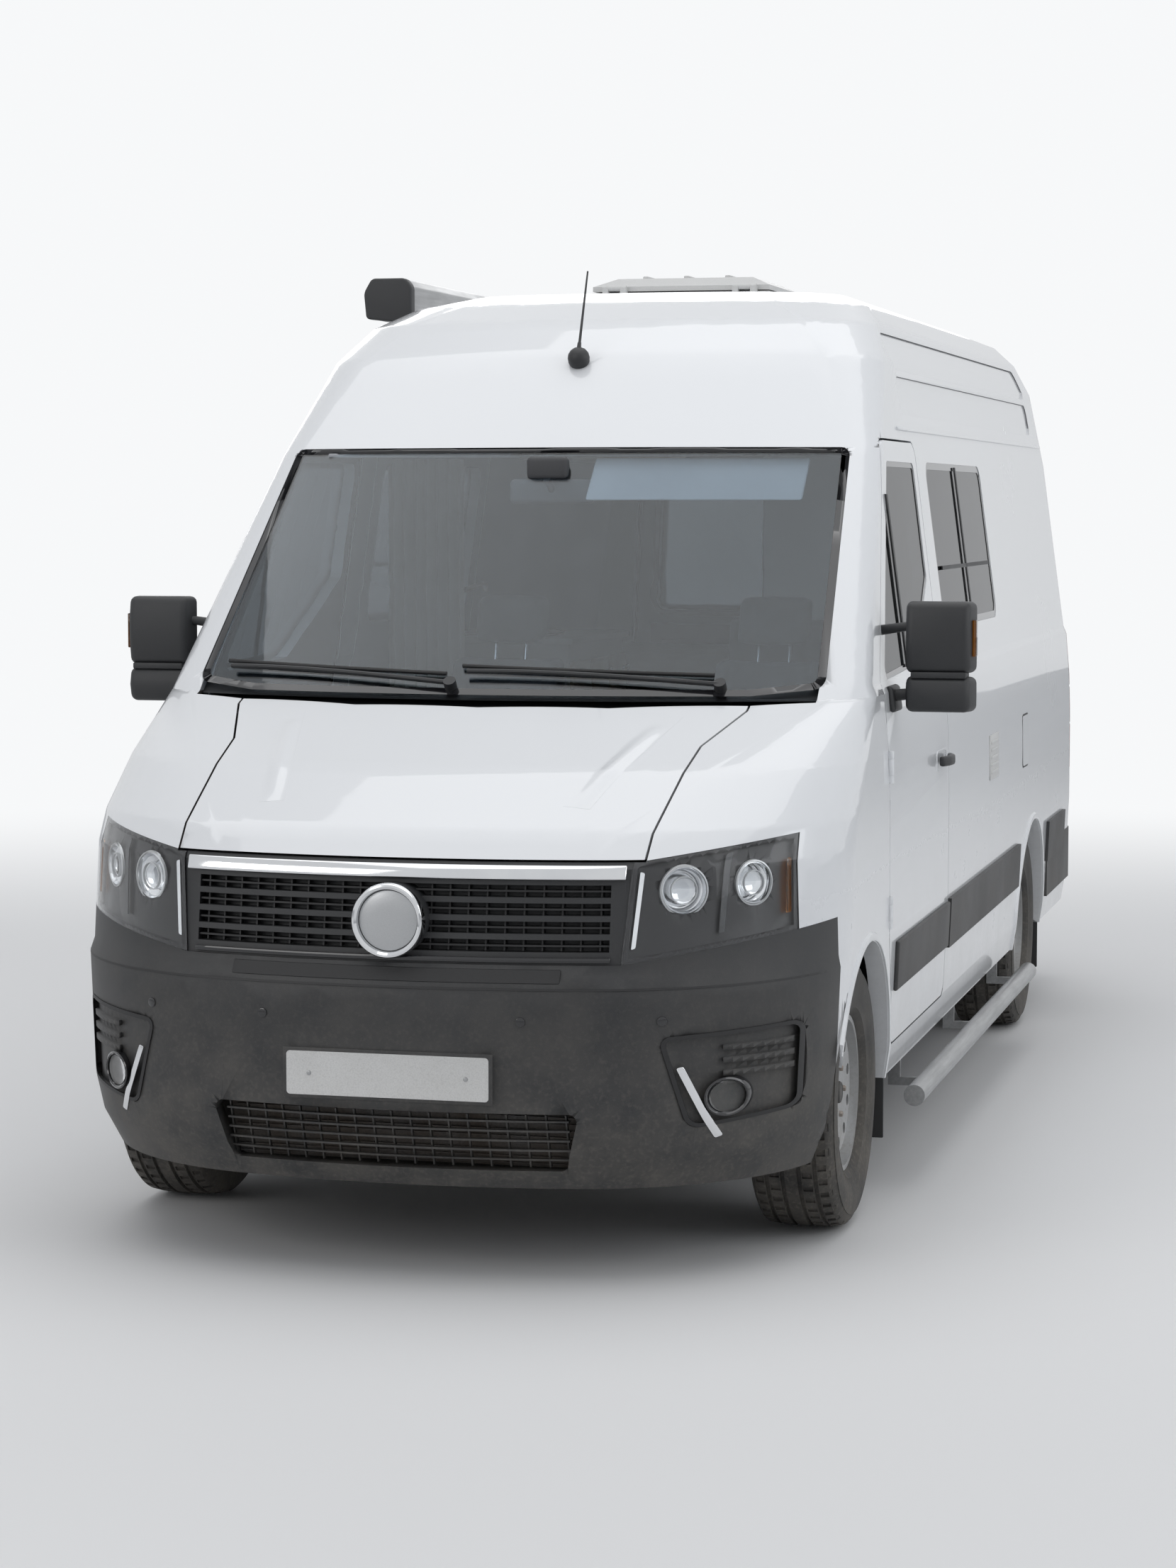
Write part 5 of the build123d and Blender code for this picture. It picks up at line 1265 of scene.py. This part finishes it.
def add_seats():
    """Two cab seats with filled cushions, backs and head pads on their boxes, and the bench behind the driver."""
    cushion = van_block((SEAT_X - 0.225, 2.035, 0.785), (SEAT_X + 0.225, 2.490, 0.880), x=0.06, y=0.12)
    for vertex in cushion.data.vertices:
        side = abs(vertex.co.x - SEAT_X) / 0.225
        front = (behind(2.490) - vertex.co.y) / 0.455
        if vertex.co.z > 0.85:
            vertex.co.z += 0.028 * side ** 3 - 0.010 * (1 - side)
        vertex.co.z += 0.020 * front
        vertex.co.x -= (vertex.co.x - SEAT_X) * 0.05 * (1 - 4 * (front - 0.5) ** 2)
    fill_pad(cushion, 0.022, 0.010, 0.012,
             (X, (SEAT_X - 0.135, SEAT_X + 0.135), 0.006, 0.007, facing(Z, 1, 0.3)),
             (Y, (behind(2.18), behind(2.32)), 0.006, 0.005, facing(Z, 1, 0.6)))
    back = van_block((SEAT_X - 0.215, 2.450, 0.905), (SEAT_X + 0.215, 2.545, 1.430), x=0.06, z=0.10)
    for vertex in back.data.vertices:
        side = abs(vertex.co.x - SEAT_X) / 0.215
        rise = (vertex.co.z - 0.905) / 0.525
        if vertex.co.y < behind(2.50):
            vertex.co.y -= 0.026 * side ** 3 - 0.010 * (1 - side)
        vertex.co.x -= (vertex.co.x - SEAT_X) * 0.16 * rise ** 2
    fill_pad(back, 0.022, 0.010, 0.012,
             (X, (SEAT_X - 0.125, SEAT_X + 0.125), 0.006, 0.007, facing(Y, -1, 0.3)),
             (Z, (1.06, 1.22, 1.34), 0.006, 0.005, facing(Y, -1, 0.6)))
    head = van_block((SEAT_X - 0.115, 2.452, 1.475), (SEAT_X + 0.115, 2.522, 1.620), x=0.06)
    fill_pad(head, 0.024, 0.009, 0.008, (X, (SEAT_X - 0.075, SEAT_X + 0.075), 0.005, 0.004, facing(Y, -1, 0.4)))
    posts = [van_bar((SEAT_X + x, 2.500, 1.400), (SEAT_X + x, 2.495, 1.500), 0.006) for x in (-0.05, 0.05)]
    box = van_block((SEAT_X - 0.195, 2.085, 0.572), (SEAT_X + 0.195, 2.475, 0.725), 0.012, 3)
    press(box, lambda centre, normal: abs(normal.x) > 0.9 or abs(normal.y) > 0.9, (0.022, 0.0), (0.006, -0.004))
    knob = [(0.205, 0.030), (0.240, 0.029), (0.247, 0.024), (0.249, 0.0)]
    hard = [box, van_block((SEAT_X - 0.235, 2.060, 0.728), (SEAT_X + 0.235, 2.500, 0.782), 0.016, 3),
            van_block((SEAT_X + 0.215, 2.150, 0.735), (SEAT_X + 0.243, 2.270, 0.757), 0.008, 3),
            revolve(knob, spot(SEAT_X, 2.490, 0.83), ALONG_X, 24)]
    rails = [van_bar((SEAT_X + x, 2.10, 0.727), (SEAT_X + x, 2.47, 0.727), 0.009, 12) for x in (-0.16, 0.16)]
    for part, piece, material in (("cushion", cushion, SEAT_CLOTH), ("back", lean(back), SEAT_CLOTH),
                                  ("head_pad", lean(head), SEAT_CLOTH), ("box", hard, DASH_PLASTIC),
                                  ("head_posts", lean(join(posts)), CHROME), ("rails", rails, BARE_STEEL)):
        pair = both_sides(piece, "seat_" + part, material, smooth=60.0)
        if material == SEAT_CLOTH:
            padded(pair, "seats")
    add_bench()


def add_bench():
    low = van_block((0.135, 2.970, 0.915), (0.925, 3.318, 0.990), x=0.10)
    fill_pad(low, 0.020, 0.012, 0.010, (X, (0.40, 0.665), 0.007, 0.006, facing(Z, 1, 0.4)))
    high = van_block((0.135, 3.345, 1.020), (0.905, 3.400, 1.535), x=0.10)
    fill_pad(high, 0.018, 0.012, 0.008, (X, (0.40, 0.665), 0.007, 0.006, facing(Y, -1, 0.4)))
    padded([ready(low, "bench_cushion", SEAT_CLOTH, smooth=60.0), ready(high, "bench_back", SEAT_CLOTH, smooth=60.0)],
           "seats")
    box = van_block((0.122, 2.962, 0.572), (0.930, 3.415, 0.898), 0.004)
    ready(press(box, facing(Y, -1), (0.035, 0.0), (0.004, -0.005)), "bench_box", WOOD_BOARD)


def add_dashboard_trim():
    """Instrument hood with two dials, centre screen, air vents, glove box seam, gear lever and pedals."""
    hood = van_block((0.235, 1.400, 1.345), (0.565, 1.530, 1.392))
    reshape(hood, lambda x, y, z: (x, y, z - 0.006 if y > behind(1.5) else z))
    fittings = [soften(hood, 0.016, 4), van_block((-0.150, 1.585, 1.135), (0.150, 1.618, 1.262), 0.008, 3),
                van_bar((0.06, 1.600, 1.090), (0.06, 1.665, 1.150), 0.009),
                revolve([(-0.030, 0.010), (-0.012, 0.022), (0.006, 0.026), (0.022, 0.021), (0.030, 0.0)],
                        spot(0.06, 1.672, 1.160), (0, 0.35, 0.93), 28),
                van_block((0.345, 1.600, 1.085), (0.455, 1.690, 1.190), 0.020, 4)]
    for x in (-0.80, -0.22, 0.22, 0.80):
        case = van_block((x - 0.055, 1.590, 1.160), (x + 0.055, 1.616, 1.232), 0.008, 3)
        fittings.append(press(case, facing(Y), (0.008, 0.0), shift=(0, -0.010, 0)))
        fittings += [van_block((x - 0.046, 1.606, 1.175 + 0.014 * row), (x + 0.046, 1.614, 1.179 + 0.014 * row))
                     for row in range(4)]
    fittings += [van_bar((0.400, 1.690, 1.170), (0.400 + x, 1.672, 1.195), 0.007, 14) for x in (-0.17, 0.17)]
    ready(fittings, "dashboard_fittings", DASH_PLASTIC)
    pane = board(rectangle(-0.138, 1.147, 0.138, 1.250), 0.008, 0.002)
    ready(move(pane, y=behind(1.6192)), "centre_screen", GLOSS_BLACK)
    dial = [(-0.004, 0.050), (0.004, 0.050), (0.004, 0.044), (0.0, 0.044), (0.0, 0.0)]
    dials = [revolve(dial, spot(x, 1.545, 1.305), (0, 0.6, 0.8), 40) for x in (0.325, 0.475)]
    ready(dials, "instrument_dials", GLOSS_BLACK)
    seam = board(rectangle(-0.78, 1.005, -0.30, 1.105), 0.015, 0.002, ring=0.004)
    reshape(seam, lambda x, y, z: (x, y + behind(1.560 + (z - 0.990) * 0.4), z))
    ready(seam, "glove_box_seam", SEAL_RUBBER)
    pedals = []
    for x, width in ((0.29, 0.045), (0.40, 0.060), (0.54, 0.060)):
        pedals.append(van_block((x - width / 2, 1.495, 0.700), (x + width / 2, 1.507, 0.775), 0.004))
        pedals.append(van_bar((x, 1.494, 0.735), (x, 1.445, 0.955), 0.008, 12))
    ready(pedals, "pedals", SEAL_RUBBER)


def add_steering_wheel():
    centre, axis = Vector(spot(0.4, 1.74, 1.22)), Vector((0, 0.6, 0.8))
    down, side = Vector((0, 0.8, -0.6)), Vector((1, 0, 0))
    turns = [math.radians(turn) for turn in range(0, 361, 30)]
    hub = [(-0.054, 0.030), (-0.054, 0.047), (-0.030, 0.058), (-0.008, 0.066), (0.004, 0.060), (0.009, 0.040),
           (0.010, 0.0)]
    rim = [(0.0150 * math.cos(turn), 0.190 + 0.0150 * math.sin(turn)) for turn in turns]
    parts = [revolve(rim, centre, axis, 72), revolve(hub, centre, axis, 40)]
    for along, across in ((side, down), (-side, down), (down, side)):
        spoke = block((0.045, -0.020, -0.013), (0.182, 0.020, -0.001), x=0.03)
        reshape(spoke, lambda x, y, z: (x, y * (1.25 - 3.2 * (x - 0.045)), z))
        soften(spoke, 0.004)
        reshape(spoke, lambda x, y, z: centre + along * x + across * y + axis * z)
        parts.append(right_way_out(spoke))
    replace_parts(ready(parts, "steering_wheel_rim", DASH_PLASTIC, "steering_wheel", 50.0), "steering_wheel")
    blank = revolve([(0.0095, 0.026), (0.0125, 0.024), (0.0130, 0.0)], centre, axis, 32)
    ready(blank, "steering_wheel_blank", GLOSS_BLACK, "steering_wheel")


def add_curtain(side, start, end):
    """Gathered curtain between two widths behind the cab, hanging in folds from its rail."""
    folds, depth, low, high = 7, 0.024, 0.72, 2.060
    columns, rows = folds * 12, 10
    bpy.ops.mesh.primitive_grid_add(x_subdivisions=columns, y_subdivisions=rows, size=1)
    cloth = bpy.context.object

    def hung(x, y, z):
        share, fall = x + 0.5, y + 0.5
        wave = math.sin(2 * math.pi * folds * share) + 0.25 * math.sin(2 * math.pi * (folds / 3) * share + 3 * fall)
        pinch = 0.55 + 0.45 * min(1.0, 6 * (1 - fall))
        return start + share * (end - start), behind(2.790) + depth * wave * pinch, low + fall * (high - low)
    ready(reshape(cloth, hung), "cab_curtain_" + side, CURTAIN_CLOTH, smooth=80.0)


def add_curtains():
    """Curtains gathered at both sides behind the cab, on a rail."""
    add_curtain("right", -0.875, -0.615)
    add_curtain("left", 0.615, 0.875)
    ready(van_bar((-0.895, 2.790, 2.072), (0.895, 2.790, 2.072), 0.008), "curtain_rail", ALUMINIUM)


# Living space: kitchen, washroom, bed, lockers

def add_living_space():
    """Kitchen top with sink, tap and hob, cupboard and locker fronts, washroom door and table edge."""
    knob = [(-0.001, 0.008), (0.008, 0.007), (0.012, 0.013), (0.018, 0.014), (0.021, 0.010), (0.022, 0.0)]
    fronts, knobs = [], []
    for low, high in ((0.62, 1.08), (1.09, 1.38)):
        for start, end in ((3.315, 3.560), (3.570, 3.815), (3.825, 4.065)):
            fronts.append(van_block((-0.3995, start, low), (-0.3835, end, high), 0.004))
            knobs.append(revolve(knob, spot(-0.3835, end - 0.05, high - 0.05), ALONG_X, 20))
    ready(fronts, "kitchen_fronts", WOOD_BOARD)
    ready(knobs, "kitchen_knobs", CHROME)
    fronts = [van_block((0.5435, start, 2.085), (0.5595, start + 0.470, 2.325), 0.004)
              for start in (4.335, 4.817, 5.299)]
    both_sides(fronts, "locker_fronts", WOOD_BOARD)
    ready(van_block((-0.932, 3.290, 1.4405), (-0.380, 4.090, 1.462), 0.004), "kitchen_top", PALE_BOARD)
    sink = move(outline(rectangle(-0.86, 3.39, -0.50, 3.66), 0.04, "xy"), z=1.4640)
    press(sink, lambda centre, normal: True, (0.016, 0.0), (0.006, 0.0), shift=(0, 0, -0.0005))
    ring = [(0.0, 0.052), (0.006, 0.050), (0.008, 0.036), (0.006, 0.022), (0.010, 0.018), (0.010, 0.0)]
    metal = [thicken(sink, 0.002), van_bar((-0.90, 3.52, 1.462), (-0.90, 3.52, 1.600), 0.011, 20),
             van_bar((-0.90, 3.52, 1.595), (-0.76, 3.52, 1.640), 0.009, 20),
             van_bar((-0.76, 3.52, 1.642), (-0.755, 3.52, 1.610), 0.010, 20)]
    metal += [revolve(ring, spot(x, s, 1.462), ALONG_Z, 32) for x, s in ((-0.60, 3.84), (-0.80, 3.96))]
    ready(metal, "sink_tap_and_hob", BARE_STEEL)
    door = van_block((0.234, 3.520, 0.62), (0.249, 4.080, 2.24), 0.004)
    ready(press(door, facing(X, -1), (0.05, 0.0), (0.004, -0.004)), "washroom_door", PALE_BOARD)
    ready(van_block((0.206, 3.600, 1.32), (0.222, 3.618, 1.46), 0.005, 3), "washroom_door_grip", CHROME)
    edge = board(rectangle(0.238, 2.773, 0.902, 2.952), 0.03, 0.004, "xy", 0.010)
    ready(move(edge, z=1.271), "table_edge", ALUMINIUM)


def add_mattress():
    """Two filled halves of the bed, side by side."""
    pad = van_block((0.012, 4.365, 1.246), (0.925, 5.735, 1.345), x=0.20, y=0.20)
    fill_pad(pad, 0.020, 0.018, 0.010, (X, (0.24, 0.47, 0.70), 0.010, 0.006, facing(Z, 1, 0.6)),
             (Y, [behind(4.365 + 0.228 * step) for step in range(1, 6)], 0.010, 0.006, facing(Z, 1, 0.6)))
    padded(both_sides(pad, "mattress_half", BED_CLOTH, smooth=60.0), "mattress")


# Engine bay and underside

def add_bonnet_lining():
    """Quilted pad on the bonnet's underside, with its catch."""
    pad = block((-0.49, 0.27, -0.001), (0.49, 0.73, 0.0), x=0.035, y=0.03)

    def quilted(x, along, layer):
        quilt = abs(math.sin(math.pi * x / 0.14) * math.sin(math.pi * (along - 0.27) / 0.115))
        return x, behind(along), top_z(x, behind(along), 0.064 + 0.008 * quilt if layer < -0.0005 else 0.0603)
    ready(right_way_out(reshape(pad, quilted)), "bonnet_lining", CAB_LINING, "bonnet", 60.0)
    catch = [(-0.022, 0.205, 1.098), (-0.022, 0.205, 1.060), (0.022, 0.205, 1.060), (0.022, 0.205, 1.098)]
    ready(van_bars([catch], 0.005, 12), "bonnet_catch", BARE_STEEL, "bonnet")


def add_radiator():
    """Radiator and low intercooler with their fins, the frame that holds them to the rails and the intake's duct."""
    holder = [van_block((-0.53, 0.215, 1.000), (0.53, 0.285, 1.030), 0.006),
              van_block((-0.485, 0.225, 0.440), (0.485, 0.275, 0.470), 0.006)]
    for x in (-0.465, 0.465):
        holder.append(van_block((x - 0.02, 0.225, 0.440), (x + 0.02, 0.275, 1.010), 0.004))
        holder.append(van_block((x - 0.02, 0.250, 0.445), (x + 0.02, 0.474, 0.500), 0.004))
    ready(holder, "radiator_frame", DARK_STEEL)
    fins = [van_block((-0.40, 0.236, 0.480 + 0.0165 * row), (0.40, 0.262, 0.4835 + 0.0165 * row))
            for row in range(31)]
    fins.append(van_block((-0.40, 0.243, 0.478), (0.40, 0.255, 0.992)))
    fins += [van_block((x - 0.022, 0.230, 0.474), (x + 0.022, 0.268, 0.996), 0.006, 3) for x in (-0.42, 0.42)]
    fins += [van_block((-0.44, 0.138, 0.296 + 0.0165 * row), (0.44, 0.166, 0.2995 + 0.0165 * row))
             for row in range(9)]
    core = board([(-0.434, 0.287), (0.434, 0.287), (0.472, 0.443), (-0.472, 0.443)], 0.020, 0.012)
    fins.append(move(core, y=behind(0.154)))
    fins += [van_block((x - 0.02, 0.145, 0.436), (x + 0.02, 0.232, 0.444)) for x in (-0.36, 0.36)]
    ready(fins, "radiator", CAST)
    duct = board([(-0.437, 0.283), (0.437, 0.283), (0.477, 0.446), (-0.477, 0.446)], 0.022, 0.020, ring=0.006, x=0.06)
    reshape(duct, lambda x, y, z: (x, front_y(x, z) + 0.048 if y < 0 else behind(0.168), z))
    ready(duct, "lower_intake_duct", BLACK_PLASTIC)


def add_engine_fittings():
    """Ribbed engine cover, battery, air box, bottles with caps, hoses and drive shafts."""
    dark = [van_block((-0.30, 0.61, 1.012), (0.25, 0.99, 1.072), 0.022, 4),
            van_block((-0.72, 0.60, 0.947), (-0.55, 0.88, 1.040), 0.014, 3),
            van_block((-0.712, 0.608, 1.043), (-0.558, 0.872, 1.095), 0.018, 3)]
    dark += [van_block((-0.25, 0.655 + 0.052 * row, 1.066), (0.20, 0.680 + 0.052 * row, 1.082), 0.006, 3)
             for row in range(6)]
    for x, s, z, r in ((0.305, 0.70, 1.012, 0.028), (0.455, 1.115, 1.148, 0.026), (0.30, 1.140, 1.098, 0.022)):
        dark.append(revolve([(-0.002, r), (0.016, r), (0.020, r * 0.92), (0.021, r * 0.4), (0.030, r * 0.35),
                             (0.031, 0.0)], spot(x, s, z), ALONG_Z, 28))
    ready(dark, "engine_cover_and_air_box", BLACK_PLASTIC)
    bottles = [van_block((0.395, 1.05, 1.020), (0.515, 1.178, 1.150), 0.022, 4),
               van_block((0.255, 1.10, 1.040), (0.345, 1.178, 1.100), 0.014, 4)]
    ready(bottles, "coolant_and_brake_bottles", PALE_PLASTIC)
    battery = [van_block((0.55, 0.62, 0.947), (0.715, 0.87, 1.085), 0.004),
               van_block((0.546, 0.616, 1.087), (0.719, 0.874, 1.112), 0.006),
               van_block((0.60, 0.605, 1.092), (0.63, 0.885, 1.120), 0.003)]
    ready(battery, "battery", SEAL_RUBBER)
    ready([van_bar((x, 0.665, 1.110), (x, 0.665, 1.130), 0.009) for x in (0.575, 0.690)], "battery_posts", BARE_STEEL)
    hoses = van_bars([[(0.33, 0.262, 0.930), (0.33, 0.330, 0.955), (0.30, 0.450, 0.960), (0.27, 0.575, 0.930)],
                      [(-0.36, 0.262, 0.530), (-0.36, 0.380, 0.520), (-0.31, 0.575, 0.540)]], 0.020)
    hoses += van_bars([[(-0.56, 0.72, 1.070), (-0.47, 0.72, 1.085), (-0.38, 0.74, 1.075), (-0.29, 0.76, 1.045)]],
                      0.030)
    hoses += van_bars([[(0.42, 1.06, 1.06), (0.37, 0.98, 1.03), (0.355, 0.90, 0.95)]], 0.009, 12)
    ready(hoses, "engine_hoses", SEAL_RUBBER, smooth=50.0)
    folds = [(0.012 * step, (0.044 - 0.004 * step) * (1.0 if step % 2 else 0.86)) for step in range(7)]
    shafts = []
    for side in (-1, 1):
        shafts += van_bars([[(side * 0.36, 1.0, 0.350), (side * 0.685, 1.0, 0.356)]], 0.014)
        shafts += [revolve([(0.0, 0.0)] + folds + [(0.075, 0.0)], spot(side * start, 1.0, 0.3535),
                           (side * way, 0, 0), 28)
                   for start, way in ((0.362, 1), (0.692, -1))]
    ready(shafts, "drive_shafts", SEAL_RUBBER, smooth=50.0)


def add_underbody():
    """Tank straps, exhaust cones and clamps, second spring leaves with their bolts, dampers and floor ribs."""
    straps = [move(board(rectangle(-0.1235, 0.2965, 0.4335, 0.529), 0.033, 0.034, ring=0.0033), y=behind(s))
              for s in (2.62, 3.12)]
    ready(straps, "tank_straps", BARE_STEEL)
    pipe = [van_bar((-0.33, start, 0.4095), (-0.33, end, 0.4005), 0.024, 32, 0.074)
            for start, end in ((3.470, 3.542), (4.100, 4.028))]
    clamp_profile = [(-0.014, 0.0221), (-0.014, 0.027), (0.014, 0.027), (0.014, 0.0221)]
    for s in (1.30, 1.46, 2.20, 3.44, 4.13, 5.10):
        pipe.append(revolve(clamp_profile, spot(-0.33, s, 0.412), ALONG_Y, 28))
        pipe.append(van_block((-0.337, s - 0.010, 0.436), (-0.323, s + 0.010, 0.452), 0.002))
    bellows = [(0.006 * step, 0.031 if step % 2 else 0.026) for step in range(22)] + [(0.126, 0.0222), (0.0, 0.0222)]
    pipe.append(revolve(bellows, spot(-0.33, 1.315, 0.412), ALONG_Y, 32))
    ready(pipe, "exhaust_cones_and_clamps", BARE_STEEL, smooth=45.0)
    leaf = van_block((0.552, 4.26, 0.0), (0.608, 5.02, 0.008), y=0.06)
    reshape(leaf, lambda x, y, z: (x, y, z + 0.3852 + 0.0596 * max(0.0, abs(y - behind(REAR_AXLE)) - 0.08)))
    steel = [leaf, van_block((0.530, 4.582, 0.411), (0.630, 4.698, 0.422), 0.003),
             van_block((0.530, 4.582, 0.314), (0.630, 4.698, 0.324), 0.003)]
    steel += van_bars([[(x, s, 0.308), (x, s, 0.432)] for x in (0.543, 0.617) for s in (4.602, 4.678)], 0.006, 12)
    steel += [van_block((0.543, s - 0.012, 0.388), (0.617, s + 0.012, 0.4175), 0.003) for s in (4.36, 4.92)]
    steel += van_bars([[(0.535, s, 0.445), (0.628, s, 0.445)] for s in (4.018, 5.262)], 0.012)
    both_sides(steel, "spring_leaves_and_bolts", DARK_STEEL)
    damper = [van_bar((0.655, 4.668, 0.345), (0.655, 4.785, 0.470), 0.021, 24),
              van_bar((0.655, 4.745, 0.4275), (0.655, 4.825, 0.513), 0.026, 24),
              van_bar((0.655, 4.815, 0.502), (0.655, 4.842, 0.531), 0.011)]
    both_sides(damper, "rear_dampers", BARE_STEEL)
    rows = [1.62 + 0.30 * row for row in range(14)]
    ribs = [van_block((low, s, 0.520), (high, s + 0.05, 0.532), 0.005) for s in rows
            for low, high in ((0.56, 0.93), (-0.93, -0.56)) if not 4.15 < s < 5.10]
    ready(ribs, "floor_ribs", DARK_STEEL)


# Inner trims and seals of the doors

def add_cab_door_cards():
    """Card, armrest with its pull, pocket, speaker, lever and seal on the inside of the cab doors."""
    pocket = van_block((0.002, 1.53, 0.635), (0.046, 2.34, 0.790), 0.012, 3)
    press(pocket, facing(Z), (0.006, 0.0), shift=(0, 0, -0.11))
    speaker = [(0.003, 0.080), (0.009, 0.078), (0.010, 0.072), (0.007, 0.066), (0.011, 0.030), (0.012, 0.0)]
    card = [van_block((0.0, 1.47, 0.62), (0.005, 2.40, 1.385), 0.002, z=0.09),
            van_block((0.002, 1.72, 0.975), (0.060, 2.31, 1.035), 0.020, 4), pocket,
            revolve(speaker, spot(0.0, 1.575, 0.93), ALONG_X, 40)]
    card += van_bars([[(0.045, 1.86, 1.020), (0.045, 1.91, 1.120), (0.045, 2.10, 1.150), (0.045, 2.16, 1.020)]],
                     0.012)
    pad = van_block((0.004, 1.66, 0.86), (0.012, 2.36, 1.30), 0.003, z=0.09)
    both_sides([stand_in(piece) for piece in card], "cab_door_card", DASH_PLASTIC, CAB_DOOR)
    both_sides(stand_in(pad), "cab_door_pad", CAB_LINING, CAB_DOOR, slot="grey_fabric")
    lever = van_block((0.010, 1.70, 1.175), (0.022, 1.80, 1.200), 0.005, 3)
    both_sides(stand_in(lever), "cab_door_lever", CHROME, CAB_DOOR)
    seal = board([(1.452, 0.432), (2.444, 0.432), (2.444, 1.598), (2.458, 2.088), (1.893, 2.088), (1.348, 1.443),
                  (1.348, 0.743), (1.435, 0.565)], 0.03, 0.003, "yz", 0.011, z=0.1)
    both_sides(stand_in(move(seal, x=0.0015)), "cab_door_seal", SEAL_RUBBER, CAB_DOOR)


def add_cab_steps():
    """Riser between the cab floor's edge and the sill, and the ribbed tread on the floor's edge."""
    step = [van_block((-0.072, 1.458, 0.338), (-0.0575, 2.470, 0.574), z=0.06),
            van_block((-0.170, 1.500, 0.5705), (-0.0575, 2.400, 0.5745))]
    step += [van_block((-0.162 + 0.018 * row, 1.520, 0.574), (-0.154 + 0.018 * row, 2.380, 0.577))
             for row in range(6)]
    both_sides(on_side(join(step)), "cab_step", BLACK_PLASTIC)


def add_rear_door_cards():
    """Card, window surround, latch with rods, grip and seal on the inside of the rear doors."""
    surround = board([(0.092, 1.452), (0.718, 1.452), (0.690, 2.088), (0.092, 2.088)], 0.07, 0.012, ring=0.026,
                     edge=0.004)
    card = [block((0.07, 0.0, 0.70), (0.72, 0.005, 1.42), 0.002, z=0.1),
            block((0.12, 0.004, 0.76), (0.67, 0.011, 1.36), 0.004), move(surround, y=0.004),
            bar((0.20, 0.040, 1.18), (0.20, 0.040, 1.32), 0.010)]
    card += [bar((0.20, 0.008, z), (0.20, 0.042, z), 0.010) for z in (1.185, 1.315)]
    both_sides([stand_back(piece) for piece in card], "rear_door_card", DASH_PLASTIC, REAR_DOOR)
    latch = [block((0.014, 0.0, 1.08), (0.062, 0.030, 1.24), 0.006, 3)]
    latch += [bar((0.036, 0.010, low), (0.036, 0.010, high), 0.006, 12) for low, high in ((0.67, 1.09), (1.23, 2.37))]
    latch += [block((0.020, 0.0, z), (0.052, 0.018, z + 0.024)) for z in (0.72, 0.90, 1.45, 1.80, 2.15, 2.33)]
    both_sides([stand_back(piece) for piece in latch], "rear_door_latch", ALUMINIUM, REAR_DOOR)
    seal = board([(0.010, 0.648), (0.787, 0.648), (0.787, 1.448), (0.736, 2.392), (0.010, 2.392)], 0.02, 0.003,
                 ring=0.011, z=0.1)
    both_sides(stand_back(move(seal, y=0.0015)), "rear_door_seal", SEAL_RUBBER, REAR_DOOR)


add_camera()
add_studio()
dress_nodes()
add_body_panels()
add_bonnet_creases()
add_grille_trim()
add_bumper_trim()
add_headlamps()
add_windscreen_trim()
add_cabin_glass_fittings()
add_door_trim()
add_mirrors()
add_tyres()
add_wheel_parts()
add_side_trim()
add_roof_seam()
add_roof_fittings()
add_tail_trim()
add_seats()
add_dashboard_trim()
add_steering_wheel()
add_curtains()
add_living_space()
add_mattress()
add_bonnet_lining()
add_radiator()
add_engine_fittings()
add_underbody()
add_cab_door_cards()
add_cab_steps()
add_rear_door_cards()
